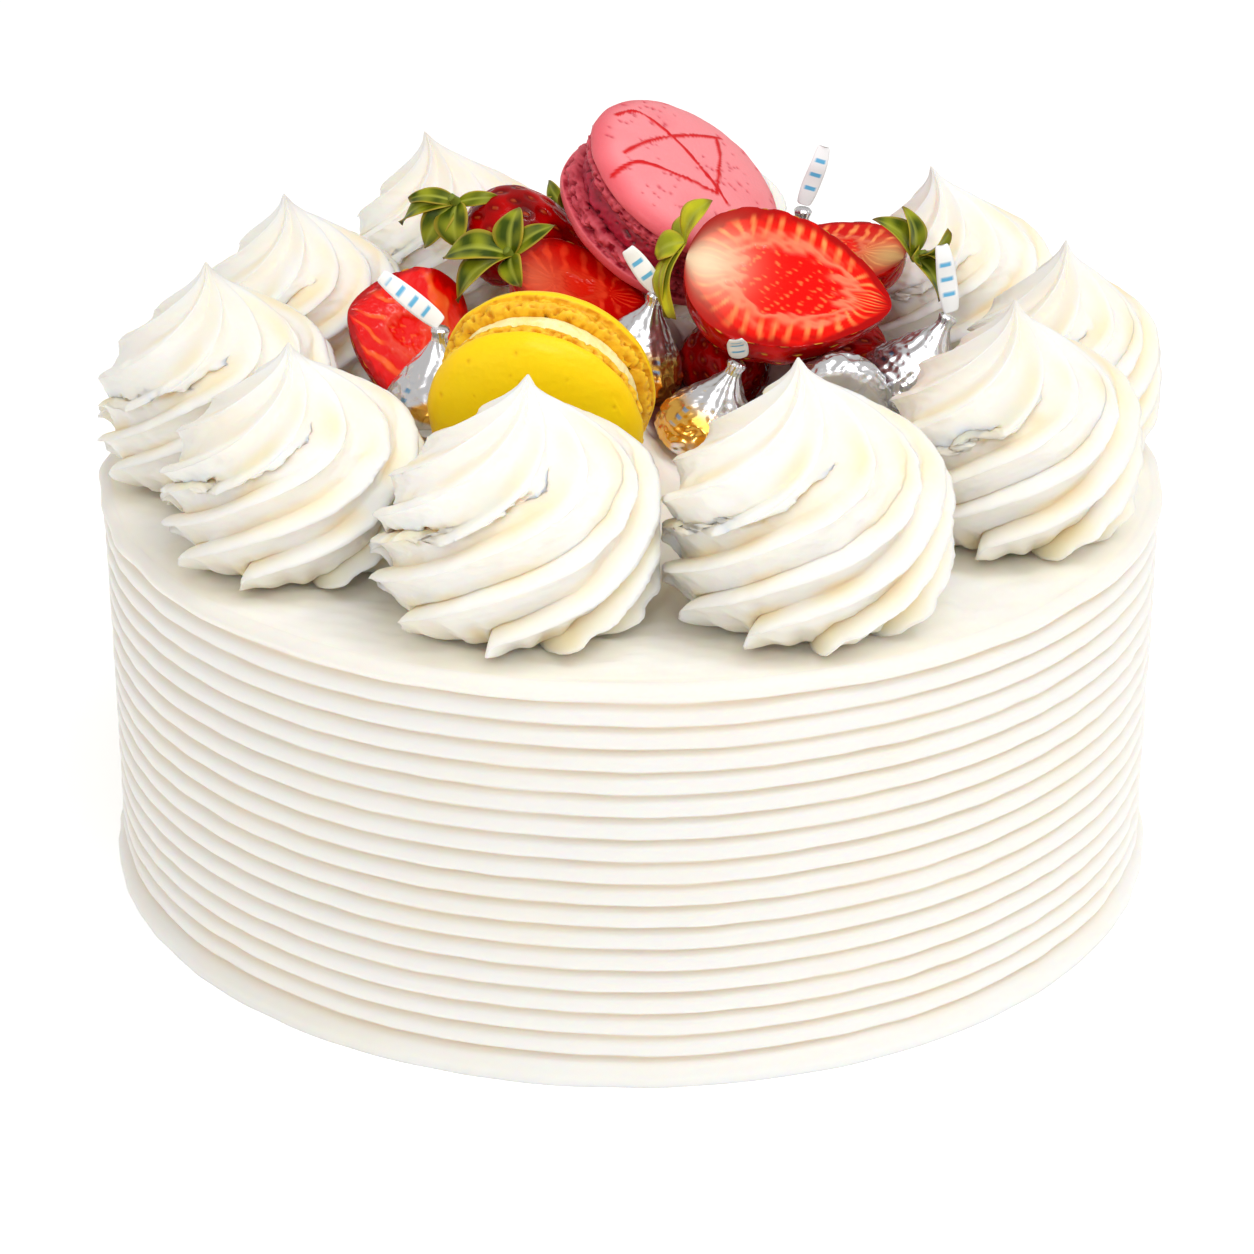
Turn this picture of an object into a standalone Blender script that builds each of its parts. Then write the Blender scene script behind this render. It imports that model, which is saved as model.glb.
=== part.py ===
"""Vanilla layer cake: combed frosting side, ten piped swirls, and a heap of fruit,
macarons and foil-wrapped drops in the middle. Metres, +Z up, origin under the middle."""
import math

import bpy
import numpy as np

MM = 0.001
GAP = 0.3 * MM

# The frosted cake
CAKE_HEIGHT = 87.7 * MM
FOOT_RADIUS = 115.6 * MM
CREST_RADIUS = 113.5 * MM
GROOVE_RADIUS = 111.8 * MM
LIP_RADIUS = 114.3 * MM
GROOVES = 17
GROOVE_LOWEST = 5.6 * MM
GROOVE_PITCH = 4.853 * MM
CAKE_SIDES = 36

# The low bed of frosting that the heap is pressed into
BED_RADIUS = 70 * MM
BED_CENTRE = (0.0, 14 * MM)
BED_FRONT = 6 * MM
BED_BACK = 21 * MM
BED_REACH = 5 * MM
BED_SLOPE = 1.0
BED_CLEAR = 5 * MM
BED_RINGS = (88, 80, 71, 62, 53, 44, 35, 25, 15, 7)

# Piped swirls
RIBS = 9
RIB_STEPS = (1.0, 0.84, 0.93)
SWIRL_TURN = math.radians(225)
SWIRL_ROWS = (0.0, 0.08, 0.20, 0.34, 0.49, 0.62, 0.73, 0.82, 0.89, 0.945)
TWIST_POWER = 1.15
SWIRL_LEAN = 3 * MM
LEAN_TOWARDS = math.radians(40)

# Macarons
MACARON_SIDES = 20
SHELL_THICKNESS = 9.2 * MM
FILLING_THICKNESS = 5.6 * MM

# Fruit
LEAF_THICKNESS = 0.7 * MM

# Foil-wrapped drops and their paper flags
DROP_RADIUS = 11.2 * MM
DROP_HEIGHT = 22 * MM
FLAG_WIDTH = 4.4 * MM
FLAG_THICKNESS = 0.5 * MM


def clear_scene():
    for thing in list(bpy.data.objects):
        bpy.data.objects.remove(thing, do_unlink=True)


def material(name, colour, roughness, metallic=0.0):
    made = bpy.data.materials.new(name)
    made.use_nodes = True
    shader = made.node_tree.nodes["Principled BSDF"]
    shader.inputs["Base Color"].default_value = (*colour, 1.0)
    shader.inputs["Roughness"].default_value = roughness
    shader.inputs["Metallic"].default_value = metallic
    return made


def add_solid(name, points, faces, finish):
    """Make one object from world points and triangles."""
    mesh = bpy.data.meshes.new(name)
    mesh.from_pydata([tuple(map(float, p)) for p in points], [], faces)
    mesh.update()
    mesh.shade_smooth()
    mesh.materials.append(finish)
    solid = bpy.data.objects.new(name, mesh)
    bpy.context.scene.collection.objects.link(solid)
    return solid


def unit(vector):
    vector = np.asarray(vector, float)
    return vector / np.linalg.norm(vector)


def frame_of(axis, face):
    """Columns: the axis, the direction across it, and the face normal squared to the axis."""
    along = unit(axis)
    face = np.asarray(face, float)
    up = unit(face - along * np.dot(face, along))
    return np.column_stack([along, np.cross(up, along), up])


def lifted(centre):
    """A place given in millimetres from the middle of the cake's flat top."""
    return np.array([centre[0] * MM, centre[1] * MM, CAKE_HEIGHT + centre[2] * MM])


def ring_faces(rings, sides):
    """Triangles between closed rings of equal length, ring by ring."""
    faces = []
    for row in range(rings - 1):
        for k in range(sides):
            a = row * sides + k
            b = row * sides + (k + 1) % sides
            c, d = b + sides, a + sides
            faces += [(a, b, c), (a, c, d)]
    return faces


def capped_rings(rings, bottom, top):
    """Points and faces of a solid from stacked rings, counter-clockwise about the stack,
    closed by a point at each end."""
    count, sides, _ = rings.shape
    points = np.concatenate([rings.reshape(-1, 3), [bottom], [top]])
    low, high = count * sides, count * sides + 1
    faces = ring_faces(count, sides)
    last = (count - 1) * sides
    for k in range(sides):
        after = (k + 1) % sides
        faces.append((low, after, k))
        faces.append((high, last + k, last + after))
    return points, faces


def turned(profile, sides, wobble=None):
    """Rings about +Z from (radius, height) pairs, lowest first."""
    angle = np.arange(sides) * 2 * math.pi / sides
    rings = []
    for radius, height in profile:
        r = radius * (np.ones(sides) if wobble is None else wobble(angle, height))
        rings.append(np.column_stack([r * np.cos(angle), r * np.sin(angle), np.full(sides, height)]))
    return np.array(rings)


# Cake

def bed_height(x, y):
    """Height of the frosting bed above the flat top: a low dome that rises to the back and
    runs out before it reaches the swirls."""
    away = math.hypot(x - BED_CENTRE[0], y - BED_CENTRE[1]) / BED_RADIUS
    clear = min(math.hypot(x - row[1] * MM, y - row[2] * MM) - row[3] * MM for row in SWIRLS)
    edge = min(max((1.0 - away) / 0.15, 0.0), 1.0)
    edge = edge * edge * (3 - 2 * edge)
    back = min(max((y / BED_RADIUS + 0.25) / 0.7, 0.0), 1.0)
    height = edge * (BED_FRONT + (BED_BACK - BED_FRONT) * back)
    return min(height, BED_SLOPE * max(clear - BED_CLEAR, 0.0))


def surface_samples(solid, steps=3):
    """World points spread over every triangle of a solid."""
    mesh = solid.data
    corners = np.array([v.co for v in mesh.vertices])
    tris = np.array([p.vertices[:] for p in mesh.polygons])
    a, b, c = corners[tris[:, 0]], corners[tris[:, 1]], corners[tris[:, 2]]
    points = []
    for i in range(steps + 1):
        for j in range(steps + 1 - i):
            u, v = i / steps, j / steps
            points.append(a + (b - a) * u + (c - a) * v)
    return np.concatenate(points)


def make_cake(finish, resting):
    """The frosted cake. Its side has one crest between each two comb grooves; the bed in the
    middle is pressed down wherever a piece of the heap is lower than it."""
    side = [(FOOT_RADIUS, 0.0), (FOOT_RADIUS, GROOVE_LOWEST * 0.6)]
    for k in range(GROOVES):
        groove = GROOVE_LOWEST + k * GROOVE_PITCH
        side.append((GROOVE_RADIUS, groove))
        if k < GROOVES - 1:
            side.append((CREST_RADIUS, groove + GROOVE_PITCH / 2))
    lip_low = GROOVE_LOWEST + (GROOVES - 1) * GROOVE_PITCH
    side.append((LIP_RADIUS, lip_low + (CAKE_HEIGHT - lip_low) * 0.4))
    side.append((LIP_RADIUS - 2.2 * MM, CAKE_HEIGHT))
    top = [(radius * MM, CAKE_HEIGHT) for radius in BED_RINGS]
    rings = turned(side + top, CAKE_SIDES)
    bed = rings[-len(top):]

    def pressed(x, y):
        height = float(bed_height(x, y))
        near = resting[np.hypot(resting[:, 0] - x, resting[:, 1] - y) < BED_REACH]
        if len(near):
            height = min(height, float(near[:, 2].min()) - CAKE_HEIGHT - GAP)
        return CAKE_HEIGHT + max(height, 0.0)

    for ring in bed[1:]:
        for point in ring:
            point[2] = pressed(point[0], point[1])
    middle = (0.0, 0.0, pressed(0.0, 0.0))
    points, faces = capped_rings(rings, (0.0, 0.0, 0.0), middle)
    return add_solid("cake_body", points, faces, finish)


# Swirls: name, centre x and y, radius, height, tip shift x and y, all in mm
SWIRLS = [
    ("swirl_a", -22.2, -81.0, 29.0, 50.2, 2.5, 0.0),
    ("swirl_b", 33.9, -79.0, 29.3, 52.9, -2.2, 0.0),
    ("swirl_c", 77.5, -38.0, 27.3, 49.7, -0.3, 0.0),
    ("swirl_d", 92.0, 5.0, 22.5, 46.5, 0.7, 3.0),
    ("swirl_e", 74.0, 51.5, 24.0, 49.0, -7.0, 0.0),
    ("swirl_f", 15.0, 90.0, 23.5, 46.5, 0.0, 0.0),
    ("swirl_g", -41.0, 76.0, 25.0, 49.5, -6.5, 0.0),
    ("swirl_h", -73.5, 38.5, 24.5, 46.9, -3.2, 0.0),
    ("swirl_i", -87.5, -9.5, 26.0, 47.8, -1.3, 0.0),
    ("swirl_j", -68.0, -52.0, 27.3, 45.8, 0.0, 0.0),
]
# Outline of a swirl from its foot to its tip: share of its height, share of its radius
SWIRL_OUTLINE = [(0.0, 0.82), (0.08, 0.94), (0.22, 1.0), (0.46, 0.985), (0.60, 0.935),
                 (0.72, 0.82), (0.82, 0.62), (0.89, 0.38), (0.945, 0.14), (1.0, 0.0)]


def make_swirl(row, others, finish):
    """A piped swirl: a dome of ribs that turn clockwise on their way down from the tip.
    Where it meets its neighbour, both are flat against the line half-way between them."""
    cx, cy, radius, height, tip_x, tip_y = (value * MM for value in row[1:])
    sides = RIBS * len(RIB_STEPS)
    angle = np.arange(sides) * 2 * math.pi / sides
    crest = np.tile(RIB_STEPS, RIBS)
    heights, reaches = zip(*SWIRL_OUTLINE)
    rings = []
    for up in SWIRL_ROWS:
        down = 1.0 - up
        out = float(np.interp(up, heights, reaches))
        theta = angle - SWIRL_TURN * down ** TWIST_POWER
        ribbed = 1.0 - (1.0 - crest) * min(1.0, out / 0.35)
        x = cx + tip_x * up ** 3 + radius * out * ribbed * np.cos(theta)
        y = cy + tip_y * up ** 3 + radius * out * ribbed * np.sin(theta)
        lean = SWIRL_LEAN * 4 * up * down * out * np.cos(theta - LEAN_TOWARDS)
        for other in others:
            aim = np.array([other[1] * MM - cx, other[2] * MM - cy])
            apart = np.hypot(*aim)
            limit = apart * radius / (radius + other[3] * MM) - GAP
            past = np.maximum(((x - cx) * aim[0] + (y - cy) * aim[1]) / apart - limit, 0.0)
            x = x - past * aim[0] / apart
            y = y - past * aim[1] / apart
        rings.append(np.column_stack([x, y, CAKE_HEIGHT + GAP + height * up + lean]))
    foot = (cx, cy, CAKE_HEIGHT + GAP)
    tip = (cx + tip_x, cy + tip_y, CAKE_HEIGHT + height)
    points, faces = capped_rings(np.array(rings), foot, tip)
    return add_solid(row[0], points, faces, finish)


# Macarons

def make_macaron(name, centre, axis, radius, shell_finish, filling_finish):
    """Two domed shells with ruffled feet and the filling between them, each its own solid.
    The centre is the middle of the filling and the axis points to the upper shell."""
    radius = radius * MM
    half = FILLING_THICKNESS / 2
    side = unit(np.cross(axis, (0.0, 0.0, 1.0)))
    basis = np.column_stack([side, np.cross(unit(axis), side), unit(axis)])

    def ruffle(angle, height):
        foot = 1.0 if height < half + 0.3 * SHELL_THICKNESS else 0.0
        return 1.0 + foot * 0.015 * np.sin(angle * 7 + height * 900)

    shell = [(0.93 * radius, half + GAP / 2), (0.985 * radius, half + 0.13 * SHELL_THICKNESS),
             (0.965 * radius, half + 0.30 * SHELL_THICKNESS), (radius, half + 0.42 * SHELL_THICKNESS),
             (0.93 * radius, half + 0.72 * SHELL_THICKNESS), (0.66 * radius, half + 0.93 * SHELL_THICKNESS)]
    rings = turned(shell, MACARON_SIDES, ruffle)
    points, faces = capped_rings(rings, (0, 0, shell[0][1]), (0, 0, half + SHELL_THICKNESS))
    origin = lifted(centre)
    made = [add_solid(name + "_shell_upper", origin + points @ basis.T, faces, shell_finish)]
    flipped = points * np.array([1.0, -1.0, -1.0])
    made.append(add_solid(name + "_shell_lower", origin + flipped @ basis.T, faces, shell_finish))
    fill = [(0.86 * radius, -half + GAP / 2), (0.90 * radius, 0.0), (0.86 * radius, half - GAP / 2)]
    rings = turned(fill, MACARON_SIDES)
    points, faces = capped_rings(rings, (0, 0, fill[0][1]), (0, 0, fill[-1][1]))
    made.append(add_solid(name + "_filling", origin + points @ basis.T, faces, filling_finish))
    return made


# Fruit

def berry_width(share):
    """Half-width along a strawberry, from its calyx end at 0 to its tip at 1."""
    return np.sin(math.pi * share ** 0.72) ** 0.62


def make_berry(name, calyx_end, tip, face, width, depth, finish, whole=False):
    """A strawberry from its calyx end to its tip. A half has a flat cut face; its skin
    bulges away from that face by the depth."""
    start, end = lifted(calyx_end), lifted(tip)
    length = np.linalg.norm(end - start)
    basis = frame_of(end - start, face)
    stations = np.array([0.04, 0.15, 0.32, 0.52, 0.72, 0.88, 0.965])
    if whole:
        turn = np.linspace(0, 2 * math.pi, 12, endpoint=False)
        below, core = depth / 2 * MM, 0.0
    else:
        turn = np.linspace(math.pi, 2 * math.pi, 11)
        below, core = depth * MM, -0.2 * depth * MM
    rings = []
    for share in stations:
        reach = float(berry_width(share))
        rings.append(np.column_stack([np.full(len(turn), share * length),
                                      width / 2 * MM * reach * np.cos(turn),
                                      below * reach * np.sin(turn)]))
    points, faces = capped_rings(np.array(rings), (0.0, 0.0, core), (length, 0.0, core * 0.4))
    return add_solid(name, start + points @ basis.T, faces, finish)


def make_calyx(name, centre, normal, up, reach, leaves, cup, finish):
    """A star of pointed leaves round the stalk end: a thin wavy sheet with both faces alike.
    The cup bends the leaf tips back towards the fruit."""
    origin = lifted(centre)
    out = unit(normal)
    first = unit(np.asarray(up, float) - out * np.dot(up, out))
    second = np.cross(out, first)
    per_leaf = 4
    count = leaves * per_leaf
    step = np.arange(count)
    angle = step * 2 * math.pi / count
    tip_length = 1.0 + 0.22 * np.sin(2.4 * (step // per_leaf) + reach)
    outer_share = np.array([1.0, 0.66, 0.26, 0.66])[step % per_leaf] * tip_length
    inner_share = np.array([0.55, 0.42, 0.20, 0.42])[step % per_leaf]
    lean = np.array([0.0, 0.11, 0.0, -0.11])[step % per_leaf]
    layers = []
    for side in (1.0, -1.0):
        rows = [origin + out * side * LEAF_THICKNESS / 2]
        for share in (inner_share, outer_share):
            r = share * reach * MM
            wave = 0.8 * MM * np.sin(angle * 3 + reach) * share
            fall = -cup * reach * MM * share ** 2 + wave
            theta = angle + lean
            lift = fall + side * LEAF_THICKNESS / 2
            ring = origin + np.outer(r * np.cos(theta), first) + np.outer(r * np.sin(theta), second)
            rows.append(ring + np.outer(lift, out))
        layers.append(rows)
    points = np.concatenate([np.vstack([[rows[0]], rows[1], rows[2]]) for rows in layers])
    size = 1 + 2 * count
    faces = []
    for layer in (0, 1):
        base = layer * size
        patch = []
        for k in range(count):
            after = (k + 1) % count
            a, b = base + 1 + k, base + 1 + after
            c, d = b + count, a + count
            patch += [(base, a, b), (a, d, c), (a, c, b)]
        faces += patch if layer == 0 else [(p, r, q) for p, q, r in patch]
    for k in range(count):
        after = (k + 1) % count
        a, b = 1 + count + k, 1 + count + after
        faces += [(a, a + size, b + size), (a, b + size, b)]
    return add_solid(name, points, faces, finish)


# Foil-wrapped drops

def make_drop(name, base, tip_direction, finish):
    """A foil-wrapped drop: a flat-bottomed teardrop gathered to a twist. The base is the
    middle of its flat underside."""
    axis = unit(tip_direction)
    side = unit(np.cross((0.0, 1.0, 0.0), axis)) if abs(axis[1]) < 0.9 else np.array([1.0, 0.0, 0.0])
    side = unit(side - axis * np.dot(side, axis))
    basis = np.column_stack([side, np.cross(axis, side), axis])
    r, h = DROP_RADIUS, DROP_HEIGHT
    profile = [(0.80 * r, 0.0), (0.98 * r, 0.12 * h), (0.97 * r, 0.26 * h), (0.74 * r, 0.48 * h),
               (0.40 * r, 0.70 * h), (0.16 * r, 0.86 * h), (0.17 * r, 0.95 * h)]

    def crinkle(angle, height):
        return 1.0 + 0.03 * np.sin(angle * 3 + height * 500)

    rings = turned(profile, 12, crinkle)
    points, faces = capped_rings(rings, (0, 0, 0), (0, 0, h))
    origin = lifted(base)
    add_solid(name, origin + points @ basis.T, faces, finish)
    return origin + axis * (h + 2.6 * GAP)


def make_flag(name, start, first, across, length, curl, finish):
    """A curved strip of paper that stands out of a drop's twist."""
    first, across = unit(first), unit(across)
    across = unit(across - first * np.dot(across, first))
    normal = np.cross(first, across)
    steps = 5
    share = np.linspace(0.0, 1.0, steps)
    bend = curl * share
    centre = (start + np.outer(share * length * MM, first)
              + np.outer(curl * length * MM * share ** 2 / 2, normal))
    width = FLAG_WIDTH / 2 * (0.75 + 0.25 * np.sin(math.pi * share))
    points = []
    for k in range(steps):
        thick = FLAG_THICKNESS / 2 * unit(normal * math.cos(bend[k]) - first * math.sin(bend[k]))
        wide = across * width[k]
        points += [centre[k] - wide - thick, centre[k] + wide - thick,
                   centre[k] + wide + thick, centre[k] - wide + thick]
    last = (steps - 1) * 4
    faces = ring_faces(steps, 4)
    faces += [(0, 2, 1), (0, 3, 2), (last, last + 1, last + 2), (last, last + 2, last + 3)]
    return add_solid(name, points, faces, finish)


def main():
    clear_scene()
    frosting = material("frosting", (0.93, 0.90, 0.82), 0.45)
    yellow_shell = material("yellow_shell", (0.90, 0.62, 0.03), 0.5)
    cream = material("cream_filling", (0.93, 0.82, 0.48), 0.5)
    pink_shell = material("pink_shell", (0.80, 0.20, 0.25), 0.5)
    dark_filling = material("dark_filling", (0.42, 0.03, 0.07), 0.5)
    red_fruit = material("red_fruit", (0.72, 0.05, 0.02), 0.3)
    leaf_green = material("leaf_green", (0.16, 0.24, 0.04), 0.5)
    foil = material("foil", (0.80, 0.80, 0.82), 0.25, 1.0)
    paper = material("paper", (0.90, 0.93, 0.96), 0.6)

    heap = []
    heap += make_macaron("macaron_yellow", (-18.4, -30.5, 25.0), (-0.20, -0.935, -0.29), 22.5,
                         yellow_shell, cream)
    heap += make_macaron("macaron_pink", (8.6, 44.5, 42.8), (0.508, -0.30, 0.808), 24.0,
                         pink_shell, dark_filling)
    # Each berry: calyx end, tip, direction the cut face looks, width and depth in mm
    heap.append(make_berry("berry_right_half", (11.8, 8.0, 43.0), (55.6, 3.3, 33.2),
                           (0.206, -0.44, 0.875), 42.5, 16.5, red_fruit))
    heap.append(make_berry("berry_back_half", (59.3, 23.0, 37.4), (31.7, 36.6, 37.2),
                           (0.05, -0.35, 0.93), 22.0, 11.0, red_fruit))
    heap.append(make_berry("berry_middle_half", (-26.0, 19.6, 35.5), (3.2, 25.0, 26.6),
                           (0.1, -0.40, 0.91), 28.0, 11.0, red_fruit))
    heap.append(make_berry("berry_whole", (-37.5, 46.2, 37.0), (-9.6, 42.4, 31.6),
                           (0.0, -0.3, 0.95), 24.0, 23.0, red_fruit, whole=True))
    heap.append(make_berry("berry_left_half", (-36.0, 14.0, 19.0), (-61.0, 10.0, 30.0),
                           (-0.1, -0.70, 0.70), 33.0, 12.0, red_fruit))
    heap.append(make_berry("berry_rear", (-13.4, 62.0, 32.8), (2.0, 59.0, 12.5),
                           (0.0, -0.3, 0.95), 21.0, 21.0, red_fruit, whole=True))
    heap.append(make_berry("berry_low_front", (20.0, 38.0, 12.0), (22.0, 8.0, 11.0),
                           (0.0, 0.0, 1.0), 21.0, 20.0, red_fruit, whole=True))
    heap.append(make_berry("berry_low_right", (34.5, 27.5, 15.9), (56.5, 25.0, 16.4),
                           (0.0, 0.0, 1.0), 21.0, 21.0, red_fruit, whole=True))

    # Each calyx: middle, direction away from the fruit, up, leaf reach in mm, leaves, cup
    heap.append(make_calyx("calyx_right_half", (11.6, 6.9, 46.4), (-0.90, -0.15, 0.42),
                           (0.1, -0.4, 1.0), 14.0, 6, 0.2, leaf_green))
    heap.append(make_calyx("calyx_back_half", (61.2, 21.8, 38.0), (0.80, -0.45, 0.40),
                           (0.0, 0.3, 1.0), 12.0, 6, 0.2, leaf_green))
    heap.append(make_calyx("calyx_middle_half", (-26.0, 17.8, 39.6), (-0.55, -0.40, 0.75),
                           (0.3, 0.3, 1.0), 16.0, 6, 0.1, leaf_green))
    heap.append(make_calyx("calyx_whole", (-38.6, 43.4, 43.2), (-0.62, -0.45, 0.64),
                           (0.0, 0.3, 1.0), 14.0, 6, 0.05, leaf_green))
    heap.append(make_calyx("calyx_rear", (-14.2, 62.0, 35.0), (-0.75, 0.0, 0.66),
                           (0.3, 0.3, 1.0), 9.5, 5, 0.1, leaf_green))

    # Each drop: middle of its underside, direction of its tip
    tip_left = make_drop("drop_left", (-42.0, -7.2, 10.6), (0.08, 0.0, 0.99), foil)
    tip_middle = make_drop("drop_middle", (-1.0, 7.5, 13.8), (0.30, 0.0, 0.95), foil)
    tip_front = make_drop("drop_front", (14.2, -8.5, 5.4), (0.38, -0.05, 0.92), foil)
    make_drop("drop_side", (43.8, -15.0, 16.5), (0.1, 0.98, 0.15), foil)
    tip_right = make_drop("drop_right", (58.0, 7.5, 10.0), (0.48, 0.07, 0.87), foil)
    tip_back = make_drop("drop_back", (37.0, 61.5, 14.0), (0.1, 0.0, 0.99), foil)
    # Each flag: where it starts, which way it runs, the way its width lies, length, curl
    make_flag("flag_left", tip_left, (-0.75, 0.0, 0.65), (0.65, 0.3, 0.75), 16.0, 0.3, paper)
    make_flag("flag_middle", tip_middle, (-0.6, -0.1, 0.8), (0.8, 0.0, 0.6), 11.0, 0.4, paper)
    make_flag("flag_front", tip_front, (-0.10, -0.74, 0.66), (1.0, 0.0, 0.1), 12.5, -0.1, paper)
    make_flag("flag_right", tip_right, (-0.15, 0.0, 0.99), (1.0, 0.2, 0.1), 15.0, 0.15, paper)
    make_flag("flag_back", tip_back, (0.35, 0.0, 0.93), (0.9, 0.2, -0.3), 14.0, 0.2, paper)
    heap += [thing for thing in bpy.data.objects if thing.name.startswith("drop_")]
    for index, row in enumerate(SWIRLS):
        others = [SWIRLS[index - 1], SWIRLS[(index + 1) % len(SWIRLS)]]
        heap.append(make_swirl(row, others, frosting))
    make_cake(frosting, np.concatenate([surface_samples(solid) for solid in heap]))


main()
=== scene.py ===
# %% [markdown]
# # A vanilla cake with piped swirls
#
# The piece is an 8 inch layer cake under white frosting. A comb with wide teeth was drawn
# round its side, ten swirls were piped on the rim, and a heap of macarons, strawberries and
# foil-wrapped chocolate drops fills the middle. Everything below is measured in metres.
#
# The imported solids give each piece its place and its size. The cells build a finer copy of
# each one, so that the ribs, seeds, fibres and creases are there in the shape itself.

# %% Load the frame
import math

import bpy
import numpy as np
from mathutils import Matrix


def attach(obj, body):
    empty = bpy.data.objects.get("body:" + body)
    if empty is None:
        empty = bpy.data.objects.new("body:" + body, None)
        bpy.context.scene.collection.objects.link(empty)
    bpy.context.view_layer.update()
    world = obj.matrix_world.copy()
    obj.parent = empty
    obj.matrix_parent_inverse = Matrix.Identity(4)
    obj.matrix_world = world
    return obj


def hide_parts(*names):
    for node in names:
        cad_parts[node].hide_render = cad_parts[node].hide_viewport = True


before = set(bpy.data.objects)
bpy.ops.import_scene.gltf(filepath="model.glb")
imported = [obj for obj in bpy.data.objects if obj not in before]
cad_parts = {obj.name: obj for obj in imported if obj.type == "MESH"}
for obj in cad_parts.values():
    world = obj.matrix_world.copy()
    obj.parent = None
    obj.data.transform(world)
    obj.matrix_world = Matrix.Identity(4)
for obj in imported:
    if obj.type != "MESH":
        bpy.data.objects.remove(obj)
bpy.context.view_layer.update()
MM = 0.001
TOP = 87.7 * MM
GAP = 0.3 * MM

# %% [markdown]
# ## Helpers
#
# A surface is a grid of points, rows by columns, that numpy computes as one array. Smooth
# noise comes from a sum of sine waves in random directions: it is cheap, has no seams in
# space, and the same seed always gives the same lumps.

# %% Noise, steps and bells
WAVES = 14


def lumps(points, size, seed):
    """Smooth noise of about -1 to 1: the sum of sin(k.p + phase) over random directions k of
    length 2 pi / size, divided by the square root of the number of waves. Size is in mm."""
    rng = np.random.default_rng(seed)
    k = rng.normal(size=(WAVES, 3))
    length = np.linalg.norm(k, axis=1)[:, None]
    k *= 2 * math.pi / (size * MM) * rng.uniform(0.6, 1.5, (WAVES, 1)) / length
    phase = rng.uniform(0, 2 * math.pi, WAVES)
    return np.sin(points @ k.T + phase).sum(-1) / math.sqrt(WAVES)


def smooth(low, high, x):
    """0 below low, 1 above high, and t*t*(3 - 2t) between."""
    t = np.clip((x - low) / (high - low), 0.0, 1.0)
    return t * t * (3 - 2 * t)


def bump(x, middle, width):
    """A bell: exp(-((x - middle) / width)^2)."""
    return np.exp(-((x - middle) / width) ** 2)


def unit(vector):
    """The same direction with length 1: v / |v|."""
    vector = np.asarray(vector, float)
    return vector / np.linalg.norm(vector, axis=-1, keepdims=True)


def mixed(low, high, share):
    """low * (1 - share) + high * share, for a share at every point."""
    share = np.clip(share, 0.0, 1.0)[..., None]
    return low * (1 - share) + high * share


# %% Places and directions
def circle(columns):
    """Cosine and sine of evenly spaced angles, each as one row."""
    angle = np.arange(columns) * 2 * math.pi / columns
    return np.cos(angle)[None, :], np.sin(angle)[None, :]


def lifted(centre):
    """A place in millimetres from the middle of the flat top, in metres from the underside."""
    return np.array([centre[0] * MM, centre[1] * MM, TOP + centre[2] * MM])


def frame_of(axis, face):
    """Columns: the axis, the direction across it, and the face normal squared to the axis."""
    along = unit(axis)
    up = unit(np.asarray(face, float) - along * np.dot(face, along))
    return np.column_stack([along, np.cross(up, along), up])


# %% Faces of a grid
def grid_faces(rows, columns, start=0):
    """Quads of a grid whose columns run counter-clockwise and close on themselves: corner
    (i, j) has the number start + i * columns + j."""
    i, j = np.meshgrid(np.arange(rows - 1), np.arange(columns), indexing="ij")
    after = (j + 1) % columns
    quads = np.stack([i * columns + j, i * columns + after, (i + 1) * columns + after,
                      (i + 1) * columns + j], -1)
    return quads.reshape(-1, 4) + start


def cap_faces(rows, columns):
    """Triangles that close the first and last ring with the two points after the grid."""
    k = np.arange(columns)
    after = (k + 1) % columns
    low, high = rows * columns, rows * columns + 1
    last = (rows - 1) * columns
    bottom = np.stack([np.full(columns, low), after, k], -1)
    top = np.stack([np.full(columns, high), last + k, last + after], -1)
    return np.concatenate([bottom, top])


# %% Meshes
def make_mesh(name, points, face_sets, tint):
    """One object from an array of points and arrays of quads and triangles. Tint is a linear
    colour for each point, which the material reads by its name."""
    mesh = bpy.data.meshes.new(name)
    sides = np.concatenate([np.full(len(faces), faces.shape[1]) for faces in face_sets])
    corners = np.concatenate([faces.ravel() for faces in face_sets])
    mesh.vertices.add(len(points))
    mesh.vertices.foreach_set("co", np.asarray(points, np.float32).ravel())
    mesh.loops.add(len(corners))
    mesh.loops.foreach_set("vertex_index", corners.astype(np.int32))
    mesh.polygons.add(len(sides))
    starts = np.concatenate([[0], np.cumsum(sides)[:-1]]).astype(np.int32)
    mesh.polygons.foreach_set("loop_start", starts)
    mesh.update(calc_edges=True)
    mesh.validate()
    mesh.shade_smooth()
    colour = np.column_stack([tint, np.ones(len(points))]).astype(np.float32)
    mesh.attributes.new("tint", "FLOAT_COLOR", "POINT").data.foreach_set("color", colour.ravel())
    made = bpy.data.objects.new(name, mesh)
    bpy.context.scene.collection.objects.link(made)
    return made


def closed_mesh(name, grid, tint, ends, end_tints, origin=0.0, basis=None):
    """Closes the first and the last ring of a grid with a point each, and puts the whole in
    its place: points @ basis^T + origin."""
    rows, columns = grid.shape[:2]
    points = np.concatenate([grid.reshape(-1, 3), ends])
    if basis is not None:
        points = points @ basis.T + origin
    tint = np.concatenate([tint.reshape(-1, 3), end_tints])
    return make_mesh(name, points, [grid_faces(rows, columns), cap_faces(rows, columns)], tint)


def finished(piece, node, finish):
    """Gives the piece its material, hangs it under the root, and hides the solid it stands for."""
    piece.data.materials.append(finish)
    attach(piece, "root")
    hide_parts(node)
    return piece
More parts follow.
